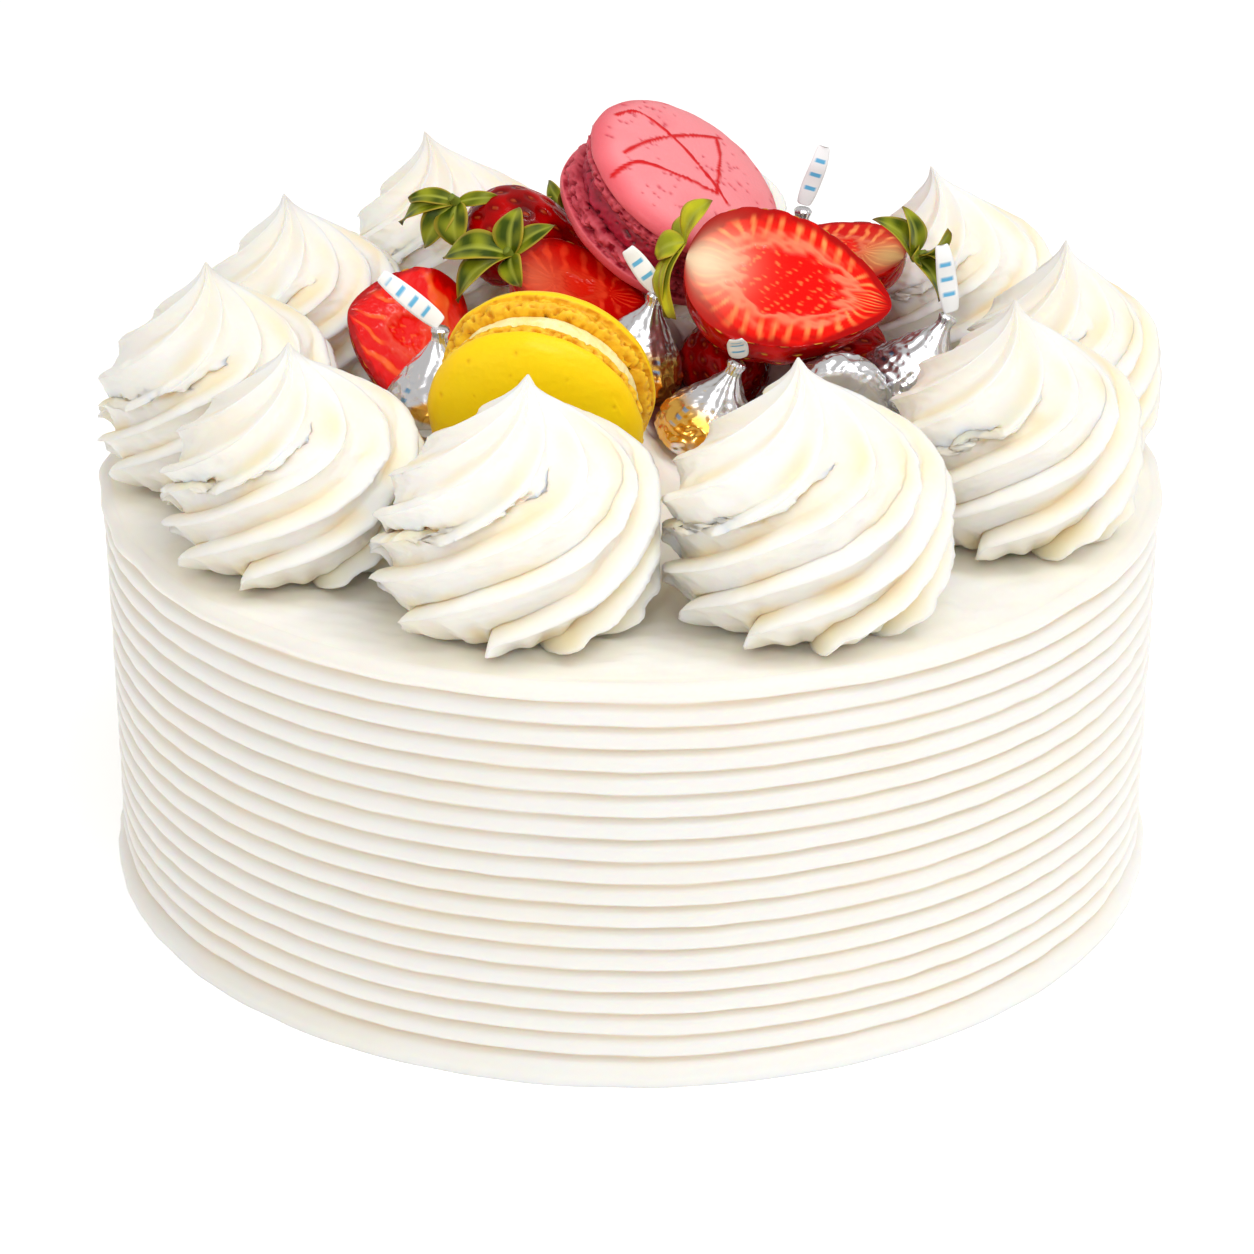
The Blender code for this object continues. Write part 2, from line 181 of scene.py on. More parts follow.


# %% [markdown]
# ## Finishes
#
# Colour that belongs to a shape, such as a seed or a pale fibre, is worked out with the shape
# and kept as a colour at every point, and so is painted shade, such as warm cream in a crease.
# A material then only has to read it and add what light does: gloss, a little depth under the
# surface, and fine grain.

# %% A material and its colour
def shader_of(name, roughness, metallic=0.0, depth=0.0, reach=0.002, gloss=0.5):
    """A Principled material. Depth is how much light travels below the surface, reach how
    far, and gloss how strongly the bare surface mirrors."""
    made = bpy.data.materials.new(name)
    made.use_nodes = True
    shader = made.node_tree.nodes["Principled BSDF"]
    for key, value in (("Roughness", roughness), ("Metallic", metallic), ("Subsurface Weight", depth),
                       ("Subsurface Scale", reach), ("Specular IOR Level", gloss)):
        shader.inputs[key].default_value = value
    return made, made.node_tree, shader


# %% Colour and grain from the piece
def painted(name, roughness, grain=None, **looks):
    """A material whose base colour is the colour kept at every point. Grain is a fine bump
    from noise in the object's own coordinates: its scale, strength and height."""
    made, tree, shader = shader_of(name, roughness, **looks)
    node = tree.nodes.new("ShaderNodeAttribute")
    node.attribute_name = "tint"
    tree.links.new(node.outputs["Color"], shader.inputs["Base Color"])
    if grain:
        place = tree.nodes.new("ShaderNodeTexCoord")
        noise = tree.nodes.new("ShaderNodeTexNoise")
        raised = tree.nodes.new("ShaderNodeBump")
        noise.inputs["Scale"].default_value = grain[0]
        noise.inputs["Detail"].default_value = 3.0
        raised.inputs["Strength"].default_value = grain[1]
        raised.inputs["Distance"].default_value = grain[2]
        tree.links.new(place.outputs["Object"], noise.inputs["Vector"])
        tree.links.new(noise.outputs["Fac"], raised.inputs["Height"])
        tree.links.new(raised.outputs["Normal"], shader.inputs["Normal"])
    return made


# %% The materials
frosting = painted("frosting", 0.42, (260.0, 0.25, 0.0002), depth=0.6, reach=0.006, gloss=0.25)
# Red light travels furthest in frosting, and blue least
shader = frosting.node_tree.nodes["Principled BSDF"]
shader.inputs["Subsurface Radius"].default_value = (1.0, 0.62, 0.32)
shell_finish = painted("shell", 0.42, (900.0, 0.8, 0.00012), depth=0.08, gloss=0.25)
filling_finish = painted("filling", 0.5, (500.0, 0.5, 0.0002), depth=0.15)
fruit = painted("fruit", 0.13, (480.0, 0.5, 0.0002), gloss=0.12)
leaf_finish = painted("leaf", 0.38, (700.0, 0.3, 0.0002), gloss=0.15)
foil_finish = painted("foil", 0.24, metallic=0.95)
paper_finish = painted("paper", 0.6)
print("materials:", len(bpy.data.materials))

# %% [markdown]
# ## Camera
#
# The photograph looks down at about 25 degrees from some 80 cm away. The focal length was
# fitted to the ellipse of the foot and to the height of the side.

# %% Camera
LOOK_DOWN = math.radians(25.04)
DISTANCE = 0.8
AIM = np.array([-0.0009, 0.0, 0.04702])
SENSOR = 36.0
# Focal length and width of the picture, both in its pixels
FOCAL = 3614.4
PICTURE = 1254

lens = bpy.data.cameras.new("camera")
lens.sensor_width = SENSOR
lens.lens = FOCAL / PICTURE * SENSOR
lens.clip_start = 0.05
camera = bpy.data.objects.new("camera", lens)
camera.location = AIM + DISTANCE * np.array([0.0, -math.cos(LOOK_DOWN), math.sin(LOOK_DOWN)])
camera.rotation_euler = (math.pi / 2 - LOOK_DOWN, 0.0, 0.0)
bpy.context.scene.collection.objects.link(camera)
bpy.context.scene.camera = camera
print("lens, mm:", round(lens.lens, 1))

# %% [markdown]
# ## Piped swirls
#
# A closed star nozzle lays nine ribs that run together at the tip and turn clockwise on their
# way down. Each rib is a shingle: it swells slowly towards its lower edge and then drops
# back sharply. Near the tip the ribs are thin pleats. The columns of the grid follow the
# ribs, so a crest stays one clean line from tip to foot. Where the upper coil ended, its torn
# edge stands over the coil below.

# %% Places and outline of the swirls
# name, centre x and y, radius, height, tip shift x and y, in mm
SWIRLS = [
    ("swirl_a", -22.2, -81.0, 29.0, 50.2, 2.5, 0.0),
    ("swirl_b", 33.9, -79.0, 29.3, 52.9, -2.2, 0.0),
    ("swirl_c", 77.5, -38.0, 27.3, 49.7, -0.3, 0.0),
    ("swirl_d", 92.0, 5.0, 22.5, 46.5, 0.7, 3.0),
    ("swirl_e", 74.0, 51.5, 24.0, 49.0, -7.0, 0.0),
    ("swirl_f", 15.0, 90.0, 23.5, 46.5, 0.0, 0.0),
    ("swirl_g", -41.0, 76.0, 25.0, 49.5, -6.5, 0.0),
    ("swirl_h", -73.5, 38.5, 24.5, 46.9, -3.2, 0.0),
    ("swirl_i", -87.5, -9.5, 26.0, 47.8, -1.3, 0.0),
    ("swirl_j", -68.0, -52.0, 27.3, 45.8, 0.0, 0.0),
]
# The outline: share of the radius at each share of the height
OUTLINE_UP = [0.0, 0.03, 0.08, 0.15, 0.22, 0.34, 0.46, 0.54, 0.60, 0.66, 0.72, 0.77, 0.82, 0.86,
              0.89, 0.92, 0.945, 0.975, 1.0]
OUTLINE_OUT = [0.70, 0.87, 0.95, 0.985, 1.0, 1.0, 0.985, 0.955, 0.90, 0.80, 0.66, 0.52, 0.37, 0.255,
               0.175, 0.11, 0.065, 0.03, 0.0]

# %% Ribs
RIBS = 9
PER_RIB = 26
# Where the crest lies across a rib, and the share of its columns that come before the crest
CREST = 0.90
BEFORE_CREST = 0.75


def rib_columns(rng):
    """The angle of every column, its place s across its rib, and the number of the rib. Seen
    from above, the angle falls across a rib from its upper edge, s = 0, to its lower, s = 1."""
    s = np.linspace(0.0, 1.0, PER_RIB, endpoint=False)
    s = np.where(s < BEFORE_CREST, s / BEFORE_CREST * CREST,
                 CREST + (s - BEFORE_CREST) / (1 - BEFORE_CREST) * (1 - CREST))
    widths = 1.0 + 0.16 * rng.uniform(-1, 1, RIBS)
    starts = np.concatenate([[0.0], np.cumsum(widths)]) / widths.sum() * 2 * math.pi
    rib_of = np.repeat(np.arange(RIBS), PER_RIB)
    s = np.tile(s, RIBS)
    angle = -(starts[rib_of] + s * (starts[rib_of + 1] - starts[rib_of]))
    return angle[None, ::-1], s[None, ::-1], rib_of[::-1]


def rib_swell(s, up):
    """Swell of a rib, 0 to 1: 0.1 s + 0.9 s^2.1 up to its crest and a smooth fall after it.
    Near the tip it is |2s - 1|^1.7, a thin pleat. The second value is the hollow beside it."""
    shingle = np.where(s < CREST, 0.10 * s / CREST + 0.90 * (s / CREST) ** 2.1,
                       1.0 - smooth(CREST, 1.0, s))
    pleat = np.abs(2 * ((s + 1.0 - CREST) % 1.0) - 1.0) ** 1.7
    near_tip = smooth(0.50, 0.76, up)
    return shingle * (1 - near_tip) + pleat * near_tip, near_tip * (1 - pleat)


# %% The torn edge
TEAR_START = -1.02 * math.pi


def torn_edge(theta, here, up, seed):
    """How far each point lies above the torn edge, as a share of the height, and how strong
    the edge is there, 1 to 0. It climbs from the left round the front:
    height = 0.40 + 0.15 * angle + noise."""
    around = (theta - TEAR_START) % (2 * math.pi)
    seam = 0.40 + 0.15 * around + 0.018 * lumps(here, 9, seed + 3)
    seam += 0.010 * lumps(here, 3, seed + 4)
    return up - seam, smooth(0.0, 0.3, around) * (1 - smooth(1.6, 2.3, around))


def kept_apart(px, py, row, others):
    """Flattens a swirl where it would cross the middle line to a neighbour."""
    cx, cy, radius = (value * MM for value in row[1:4])
    for other in others:
        aim = np.array([other[1] * MM - cx, other[2] * MM - cy])
        apart = np.hypot(*aim)
        limit = apart * radius / (radius + other[3] * MM) - GAP
        past = np.maximum(((px - cx) * aim[0] + (py - cy) * aim[1]) / apart - limit, 0.0)
        px = px - past * aim[0] / apart
        py = py - past * aim[1] / apart
    return px, py


# %% Piped swirls
SWIRL_TURN = math.radians(225)
SWIRL_LEAN = 3 * MM
LEAN_TOWARDS = math.radians(40)
COIL_STEP = 0.38 * 2 * math.pi / RIBS
OVERHANG = 1.5 * MM
FROST_WHITE = np.array([0.96, 0.938, 0.89])
# A warm cream colour: painted shade in creases, and also tone at random
CREAM_TONE_AND_SHADE = np.array([0.975, 0.845, 0.60])


def build_swirl(row, others, seed):
    """Radius = outline(up) * R * (1 - depth * (1 - swell)), and the turn is
    -TURN * (down^1.15 - 1.3 (down - 0.72)^2), so the ribs run down more steeply at the foot.
    Below the torn edge they belong to the lower coil, a part of a rib further round."""
    name = row[0]
    cx, cy, radius, height, tip_x, tip_y = (value * MM for value in row[1:])
    rng = np.random.default_rng(seed)
    rows = 150
    up = (np.linspace(0.0, 1.0, rows) ** 0.85)[:-1, None]
    down = 1.0 - up
    angle, s, rib_of = rib_columns(rng)
    out = np.interp(up, OUTLINE_UP, OUTLINE_OUT)
    theta = angle - SWIRL_TURN * (down ** 1.15 - 1.3 * np.maximum(down - 0.72, 0.0) ** 2)
    x, y = np.cos(theta), np.sin(theta)
    here = np.stack([cx + x * radius * out, cy + y * radius * out, height * up + 0 * x], -1)
    above, there = torn_edge(theta, here, up, seed)
    over = smooth(-0.004, 0.016, above) * (1 - smooth(0.02, 0.26, above))
    under = bump(above, -0.02, 0.03)
    step = there * (0.048 * over - 0.045 * under)
    lower = there * smooth(0.006, -0.014, above) * smooth(0.02, 0.2, up)
    theta = theta - COIL_STEP * lower
    x, y = np.cos(theta), np.sin(theta)
    swell, hollow = rib_swell(s, up)
    depth = (0.17 + 0.03 * rng.uniform(-1, 1, RIBS))[rib_of][None, :]
    depth = depth + 0.34 * smooth(0.85, 0.3, out) + 0.07 * smooth(0.2, 0.05, up)
    ragged = lumps(here, 7, seed + 1) * 0.008 + lumps(here, 2.2, seed + 2) * 0.004
    ragged = ragged + there * bump(above, 0.0, 0.03) * 0.013 * lumps(here, 2.5, seed + 7)
    cave = bump(s, 0.985, 0.05) * smooth(0.32, 0.12, up)
    scallop = 0.06 * smooth(0.24, 0.06, up) * (0.5 - 0.5 * np.cos(2.2 * RIBS * theta + 8 * up + seed))
    ribbed = 1.0 - depth * (1.0 - swell) - scallop - 0.10 * cave
    ribbed = ribbed + ragged * smooth(0.1, 0.6, out) + step * smooth(0.1, 0.5, out)
    reach = np.minimum(ribbed, 1.012) * radius * out
    px, py = kept_apart(cx + tip_x * up ** 3 + reach * x, cy + tip_y * up ** 3 + reach * y, row, others)
    # The lower edge of a rib hangs over the next one
    hang = -OVERHANG * swell ** 4 * smooth(0.25, 0.8, out) * smooth(0.02, 0.2, up)
    lean = SWIRL_LEAN * 4 * up * down * out * np.cos(theta - LEAN_TOWARDS)
    pz = np.maximum(TOP + GAP + height * up + lean + hang, TOP + GAP)
    # Painted warm shade: a cream tint in the valleys, in the caves under the rib edges, between the
    # pleats near the tip, under the torn edge and at the foot, weaker towards the tip
    valley = (1 - smooth(0.0, 0.34, s)) + smooth(CREST, 1.0, s)
    shade_and_tone = 0.8 * valley * smooth(0.15, 0.7, out) * (0.75 + 0.5 * lumps(here, 14, seed + 5))
    shade_and_tone = shade_and_tone + 0.5 * cave + 0.2 * hollow + 0.9 * there * under + 0.35 * bump(up, 0.0, 0.10)
    shade_and_tone = shade_and_tone * (0.65 + 0.35 * smooth(0.95, 0.45, up))
    # Painted shade: the swirls are 0.95 times as bright as the flat top of the same frosting
    tint = 0.95 * mixed(FROST_WHITE, CREAM_TONE_AND_SHADE, shade_and_tone + 0.10 * lumps(here, 20, seed + 6))
    ends = [(cx, cy, TOP + GAP), (cx + tip_x, cy + tip_y, TOP + height)]
    end_tints = 0.95 * mixed(FROST_WHITE, CREAM_TONE_AND_SHADE, [0.3, 0.0])
    piece = closed_mesh("frosting_" + name, np.stack([px, py, pz], -1), tint, ends, end_tints)
    return finished(piece, name, frosting)


for index, row in enumerate(SWIRLS):
    neighbours = [SWIRLS[index - 1], SWIRLS[(index + 1) % len(SWIRLS)]]
    build_swirl(row, neighbours, 20 + 7 * index)
print("swirls:", len(SWIRLS))

# %% [markdown]
# ## The frosted cake
#
# A toothed comb held against a turning cake leaves even grooves with flat, slightly bulging
# bands between them. The knife that levelled the top pushed a soft lip over the edge, and
# left shallow smears. The bed under the heap follows the imported solid, and a dark red
# painted shade fills the deep gaps between the berries.

# %% Sizes and colours of the cake
GROOVES = 17
GROOVE_LOWEST = 5.6 * MM
GROOVE_PITCH = 4.853 * MM
GROOVE_DEPTH = 1.5 * MM
LIP_LOW = GROOVE_LOWEST + (GROOVES - 1) * GROOVE_PITCH
BAND_RADIUS = 113.6 * MM
FOOT_RADIUS = 115.5 * MM
LIP_RADIUS = 114.3 * MM
TOP_RADIUS = 112.1 * MM
# Painted shade: the side is drawn darker than the flat top of the same frosting
SIDE_PAINTED_SHADE = np.array([0.91, 0.915, 0.935])
# Painted shade: the dark red of the deep gaps between the berries
GAP_SHADE = np.array([0.20, 0.004, 0.003])
# Places between the berries where the dark red gap shade is painted, in mm
GAP_SHADE_AT = [(4.0, 10.0), (8.0, 2.0), (13.0, 6.0), (20.0, 8.0), (28.0, 10.0), (36.0, 14.0),
            (46.0, 18.0), (10.0, 20.0), (11.0, 30.0), (17.0, 37.0), (27.0, 33.0), (38.0, 28.0),
            (-26.0, 28.0), (-33.0, 21.0), (-10.0, 30.0)]

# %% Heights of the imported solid
def heights_over(solid, x, y):
    """Height of the highest triangle of a solid over every place. A place lies in a triangle
    when its three shares (barycentric coordinates) are none of them negative."""
    mesh = solid.data
    mesh.calc_loop_triangles()
    corners = np.empty(len(mesh.vertices) * 3, np.float32)
    mesh.vertices.foreach_get("co", corners)
    index = np.empty(len(mesh.loop_triangles) * 3, np.int32)
    mesh.loop_triangles.foreach_get("vertices", index)
    triangles = corners.reshape(-1, 3)[index].reshape(-1, 3, 3).astype(float)
    a, b, c = triangles[:, 0], triangles[:, 1], triangles[:, 2]
    area = (b[:, 0] - a[:, 0]) * (c[:, 1] - a[:, 1]) - (c[:, 0] - a[:, 0]) * (b[:, 1] - a[:, 1])
    upward = (area > 1e-9) & (triangles[:, :, 2].min(1) > TOP - 2 * MM)
    found = np.full(x.shape, TOP)
    for a, b, c, twice in zip(a[upward], b[upward], c[upward], area[upward]):
        low, high = np.minimum(np.minimum(a, b), c), np.maximum(np.maximum(a, b), c)
        near = (x > low[0]) & (x < high[0]) & (y > low[1]) & (y < high[1])
        px, py = x[near], y[near]
        v = ((px - a[0]) * (c[1] - a[1]) - (c[0] - a[0]) * (py - a[1])) / twice
        w = ((b[0] - a[0]) * (py - a[1]) - (px - a[0]) * (b[1] - a[1])) / twice
        inside = (v >= -1e-6) & (w >= -1e-6) & (v + w <= 1 + 1e-6)
        z = a[2] + v * (b[2] - a[2]) + w * (c[2] - a[2])
        found[near] = np.where(inside, np.maximum(found[near], z), found[near])
    return found


# %% Side, lip and top
def cake_side(c, s):
    """r = band - depth * exp(-(distance to the groove / w)^2) - bulge, with w = 0.6 mm above
    the groove and 0.9 mm below it, flared at the foot. Also the height, and the painted warm
    shade in the grooves with some tone at random."""
    z = np.linspace(0.0, LIP_LOW, 168)[:, None]
    here = np.stack([0.1 * c + 0 * z, 0.1 * s + 0 * z, z + 0 * c], -1)
    shifted = z + 0.16 * MM * lumps(here * (1, 1, 0.2), 60, 3) - GROOVE_LOWEST
    nearest = np.clip(np.round(shifted / GROOVE_PITCH), 0, GROOVES - 1)
    off = shifted - nearest * GROOVE_PITCH
    groove = np.exp(-np.where(off > 0, off / (0.60 * MM), off / (0.90 * MM)) ** 2)
    depth = GROOVE_DEPTH * (1 + 0.12 * lumps(here, 25, 4))
    bulge = 0.12 * MM * np.cos(math.pi * off / GROOVE_PITCH) ** 2
    r = BAND_RADIUS - depth * groove - bulge + 0.12 * MM * lumps(here, 11, 5)
    r = r + (FOOT_RADIUS - BAND_RADIUS - 0.3 * MM) * (1 - smooth(1.5 * MM, 5.5 * MM, z))
    # Painted warm shade in the grooves, with a little tone at random
    shade_and_tone = 0.45 * groove + 0.06 * lumps(here, 30, 6)
    return np.minimum(r, FOOT_RADIUS), z + 0 * c, shade_and_tone


def cake_lip(c, s):
    """r = top + (lip - top) * cos(pi (t - 1/2))^0.7 while the height rises to the flat top."""
    t = np.linspace(0.12, 1.0, 10)
    r = (TOP_RADIUS + (LIP_RADIUS - TOP_RADIUS) * np.cos((t - 0.5) * math.pi) ** 0.7)[:, None]
    z = (LIP_LOW + (TOP - LIP_LOW) * (t ** 0.9))[:, None]
    r = r + 0.35 * MM * lumps(np.stack([0.1 * c, 0.1 * s, 0 * c], -1), 18, 7)
    return np.minimum(r, FOOT_RADIUS - 0.3 * MM), z + 0 * c, np.full(r.shape, 0.08)


def gap_shade_on(flat):
    """How strongly the gap shade is painted: 1 within 4 mm of a place in GAP_SHADE_AT, 0 beyond 11 mm.
    """
    gap_shade = np.zeros(flat.shape[:2])
    for gap_x, gap_y in GAP_SHADE_AT:
        away = np.hypot(flat[..., 0] - gap_x * MM, flat[..., 1] - gap_y * MM)
        gap_shade = np.maximum(gap_shade, smooth(11 * MM, 4 * MM, away + 2 * MM * lumps(flat, 6, 11)))
    return 0.9 * gap_shade


# %% The frosted cake
def build_cake():
    """The side, the lip, and rings from the lip to the middle at the height of the solid."""
    columns = 380
    c, s = circle(columns)
    r, z, side_shade_and_tone = cake_side(c, s)
    lip_r, lip_z, cream_lip = cake_lip(c, s)
    top_r = np.concatenate([np.linspace(TOP_RADIUS - 1 * MM, 84 * MM, 20),
                            np.linspace(80 * MM, 2 * MM, 28)])
    radii = np.concatenate([r, lip_r, np.repeat(top_r[:, None], columns, 1)])
    heights = np.concatenate([z, lip_z, np.full((len(top_r), columns), TOP)])
    x, y = radii * c, radii * s
    first = len(r) + len(lip_r)
    heights[first:] = heights_over(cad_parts["cake_body"], x[first:], y[first:])
    flat = np.stack([x, y, 0 * x], -1)[first:]
    smear = 0.30 * MM * (lumps(flat * (1, 0.6, 1), 16, 8) + 0.6 * lumps(flat, 5, 9))
    heights[first:] += smear * smooth(0, 6 * MM, TOP_RADIUS - radii[first:]) - 0.25 * MM
    top_tone_and_shade = 0.03 + 0.05 * lumps(flat, 22, 10)
    # Painted warm shade on the flat top round the foot of each swirl
    for row in SWIRLS:
        past_foot = np.hypot(flat[..., 0] - row[1] * MM, flat[..., 1] - row[2] * MM) - row[3] * MM
        top_tone_and_shade = np.maximum(top_tone_and_shade, 0.2 * smooth(2 * MM, -2 * MM, past_foot))
    tint = mixed(FROST_WHITE, CREAM_TONE_AND_SHADE, np.concatenate([side_shade_and_tone, cream_lip, top_tone_and_shade]))
    # Painted shade on the side
    tint[:first] *= SIDE_PAINTED_SHADE
    # Painted dark red shade in the gaps between the berries
    tint[first:] = mixed(tint[first:], GAP_SHADE, gap_shade_on(flat))
    ends = [(0, 0, 0), (0, 0, heights[-1].mean())]
    piece = closed_mesh("frosting_cake", np.stack([x, y, heights], -1), tint, ends,
                        mixed(FROST_WHITE, CREAM_TONE_AND_SHADE, [0.2, 0.2]))
    return finished(piece, "cake_body", frosting)


build_cake()
print("grooves in the side:", GROOVES)

# %% [markdown]
# ## Macarons
#
# A macaron shell is a smooth dome on a ruffled foot, which rises while it bakes. The foot is
# full of small bubbles, so its ring is noise at three sizes with pits cut in. The pink one
# has air holes in its dome and four thin lines of red glaze.

# %% Colours on a screen
def srgb(*values):
    """Linear colour from 0 to 255 values as a screen shows them."""
    return np.array([(v / 255) ** 2.2 for v in values])


# %% Lines of glaze
def distance_to_lines(x, y, lines):
    """Least distance from each point to the segments of each line."""
    best = np.full(x.shape, 1.0)
    for line in lines:
        ends = np.array(line) * MM
        for a, b in zip(ends[:-1], ends[1:]):
            along = b - a
            t = np.clip(((x - a[0]) * along[0] + (y - a[1]) * along[1]) / (along @ along), 0, 1)
            best = np.minimum(best, np.hypot(x - a[0] - t * along[0], y - a[1] - t * along[1]))
    return best


def curved(line, steps=8):
    """A smooth line through a few places, by Catmull-Rom blending."""
    p = np.array([line[0]] + list(line) + [line[-1]], float)
    t = np.linspace(0, 1, steps, endpoint=False)[:, None]
    parts = [0.5 * (2 * p[i] + (p[i + 1] - p[i - 1]) * t
                    + (2 * p[i - 1] - 5 * p[i] + 4 * p[i + 1] - p[i + 2]) * t ** 2
                    + (3 * p[i] - p[i - 1] - 3 * p[i + 1] + p[i + 2]) * t ** 3)
             for i in range(1, len(p) - 2)]
    return np.concatenate(parts + [p[-1:]])


# %% Rings of a shell
# Height of a shell, and half the height of the filling
SHELL = 9.2 * MM
HALF = 2.8 * MM
# The four sorts of ring
UNDERSIDE, FOOT, NECK, DOME = range(4)


def shell_rings():
    """Radius and height of every ring, as shares, and its sort. Foot:
    r = 0.935 + 0.045 sin(pi t)^0.6. Dome: z = (1 - r^3.2)^(1 / 2.4)."""
    foot = np.linspace(0.0, 1.0, 26)
    dome = np.sin(np.linspace(math.pi / 2, 0.02, 62))
    share_r = np.concatenate([[0.45, 0.75, 0.90], 0.935 + 0.045 * np.sin(math.pi * foot) ** 0.6,
                              [0.962, 0.985], dome])
    share_z = np.concatenate([np.zeros(3), 0.31 * foot, [0.335, 0.355],
                              0.38 + 0.62 * (1 - dome ** 3.2) ** (1 / 2.4)])
    sort = np.repeat([UNDERSIDE, FOOT, NECK, DOME], [3, 26, 2, 62])
    return share_r[:, None], share_z[:, None], sort[:, None]


def air_holes(x, y, radius, pits, rng):
    """Small oval bells exp(-(dx / size)^2 - (dy / size / stretch)^2) scattered on the dome."""
    holes = np.zeros(x.shape)
    for _ in range(pits):
        reach, turn = 0.93 * radius * math.sqrt(rng.uniform(0, 1)), rng.uniform(0, 2 * math.pi)
        size = rng.uniform(0.18, 0.42) * MM
        stretch = rng.uniform(1.0, 1.8)
        dx, dy = x - reach * math.cos(turn), y - reach * math.sin(turn)
        holes = np.maximum(holes, np.exp(-(dx / size) ** 2 - (dy / size / stretch) ** 2))
    return holes


def turned(axis):
    """Columns: two directions across an axis, and the axis."""
    across = unit(np.cross(axis, (0.0, 0.0, 1.0)))
    return np.column_stack([across, np.cross(unit(axis), across), unit(axis)])


# %% Macaron shells
def build_shell(name, centre, axis, radius, flip, tints, pits, lines, seed):
    """The rings of shell_rings, with noise and bubbles on the foot, and air holes and lines
    of glaze on the dome."""
    rng = np.random.default_rng(seed)
    radius = radius * MM
    share_r, share_z, sort = shell_rings()
    c, s = circle(300)
    r = share_r * radius
    z = share_z * SHELL + HALF + 0 * c
    here = np.stack([r * c, r * s, z], -1)
    rough = 0.55 * lumps(here, 4.5, seed) + 0.5 * lumps(here, 2.0, seed + 1)
    rough = rough + 0.35 * lumps(here, 1.1, seed + 2)
    bubble = smooth(0.45, 1.1, lumps(here, 2.6, seed + 3) + 0.5 * lumps(here, 1.3, seed + 4))
    foot, dome = sort == FOOT, sort == DOME
    r = r + foot * (0.35 * MM * rough - 0.9 * MM * bubble)
    r = r + (sort >= NECK) * (share_r > 0.9) * 0.10 * MM * lumps(here, 9, seed + 5)
    r = np.minimum(r, radius * 1.004)
    fine = 0.05 * MM * lumps(here, 7, seed + 6) + 0.02 * MM * lumps(here, 1.5, seed + 7)
    z = z + dome * fine + foot * 0.12 * MM * rough
    x, y = r * c, r * s
    holes = dome * air_holes(x, y, radius, pits, rng)
    z = z - 0.35 * MM * holes
    line = np.zeros(r.shape)
    if lines:
        thin = 0.52 * MM * (1 + 0.2 * lumps(here, 5, seed + 8))
        far = distance_to_lines(x, y, [curved(each) for each in lines])
        line = dome * smooth(1.25, 0.75, far / thin)
        z = z + 0.22 * MM * line
    dome_tint, edge_tint, foot_light, foot_dark, hole_painted_shade, line_tint = tints
    to_edge = smooth(0.80, 1.0, share_r) + 0.12 * lumps(here, 12, seed + 9)
    shade = mixed(dome_tint, edge_tint, to_edge)
    # Painted shade in the air holes
    shade = mixed(shade, hole_painted_shade, holes)
    shade = mixed(shade, line_tint, line)
    # Painted shade: the foot is darker in its bubbles and dips and lighter on its bumps
    foot_shade = mixed(foot_light, foot_dark, 0.9 * bubble + 0.35 - 0.35 * rough)
    shade = np.where(dome[..., None], shade, foot_shade)
    basis = turned(axis) * ((1, -1, -1) if flip else 1)
    return closed_mesh("shell_" + name, np.stack([r * c, r * s, z], -1), shade,
                       [(0, 0, HALF), (0, 0, HALF + SHELL)], [foot_light, dome_tint],
                       lifted(centre), basis)


# %% Fillings
def build_filling(name, centre, axis, radius, light, dark, roughness, seed):
    """A rounded band r = 0.865 + 0.035 (1 - t^2)^(1/2) of the radius, with lumps and small
    holes."""
    radius = radius * MM
    share = np.linspace(-1, 1, 26)[:, None]
    c, s = circle(260)
    r = radius * (0.865 + 0.035 * (1 - share ** 2) ** 0.5)
    z = share * (HALF - 0.15 * MM) + 0 * c
    here = np.stack([r * c, r * s, z], -1)
    rough = lumps(here, 5, seed) * 0.6 + lumps(here, 1.8, seed + 1) * 0.4
    hole = smooth(0.75, 1.25, lumps(here, 2.4, seed + 2)) * roughness
    r = r + roughness * 0.35 * MM * rough - 0.7 * MM * hole
    # Painted shade: the filling is darker in its holes and dips and lighter on its lumps
    shade = mixed(light, dark, 0.9 * hole + 0.25 - 0.3 * rough)
    return closed_mesh("filling_" + name, np.stack([r * c, r * s, z], -1), shade,
                       [(0, 0, z.min()), (0, 0, z.max())], [light, light],
                       lifted(centre), turned(axis))


# %% The two macarons
# Places on the dome in mm from its middle, along each line of glaze
GLAZE_LINES = [
    [(5.4, -20.3), (0.7, -19.3), (-0.8, -16.6), (-1.4, -9.2), (-0.9, -2.1), (0.9, 7.0), (2.1, 10.9)],
    [(15.1, -11.3), (7.2, -10.8), (-1.2, -9.1), (-8.7, -6.6), (-16.2, -3.3)],
    [(21.5, -8.6), (19.0, -8.6), (16.1, -8.2), (13.1, -6.5), (8.2, -0.4), (2.3, 7.9)],
    [(-14.0, -3.5), (-9.2, 0.6), (-1.8, 5.1), (2.0, 7.5)],
]
# Colours of the dome, its edge, the foot where light and dark, the dark also painting shade
# in its bubbles, the painted shade in the air holes, and the glaze
YELLOW = (srgb(255, 216, 6), srgb(254, 208, 12), srgb(255, 206, 52), srgb(214, 140, 6),
          srgb(238, 184, 4), srgb(200, 20, 20))
PINK = (srgb(240, 140, 146), srgb(226, 98, 108), srgb(222, 92, 106), srgb(150, 20, 42),
        srgb(196, 58, 76), srgb(205, 12, 22))
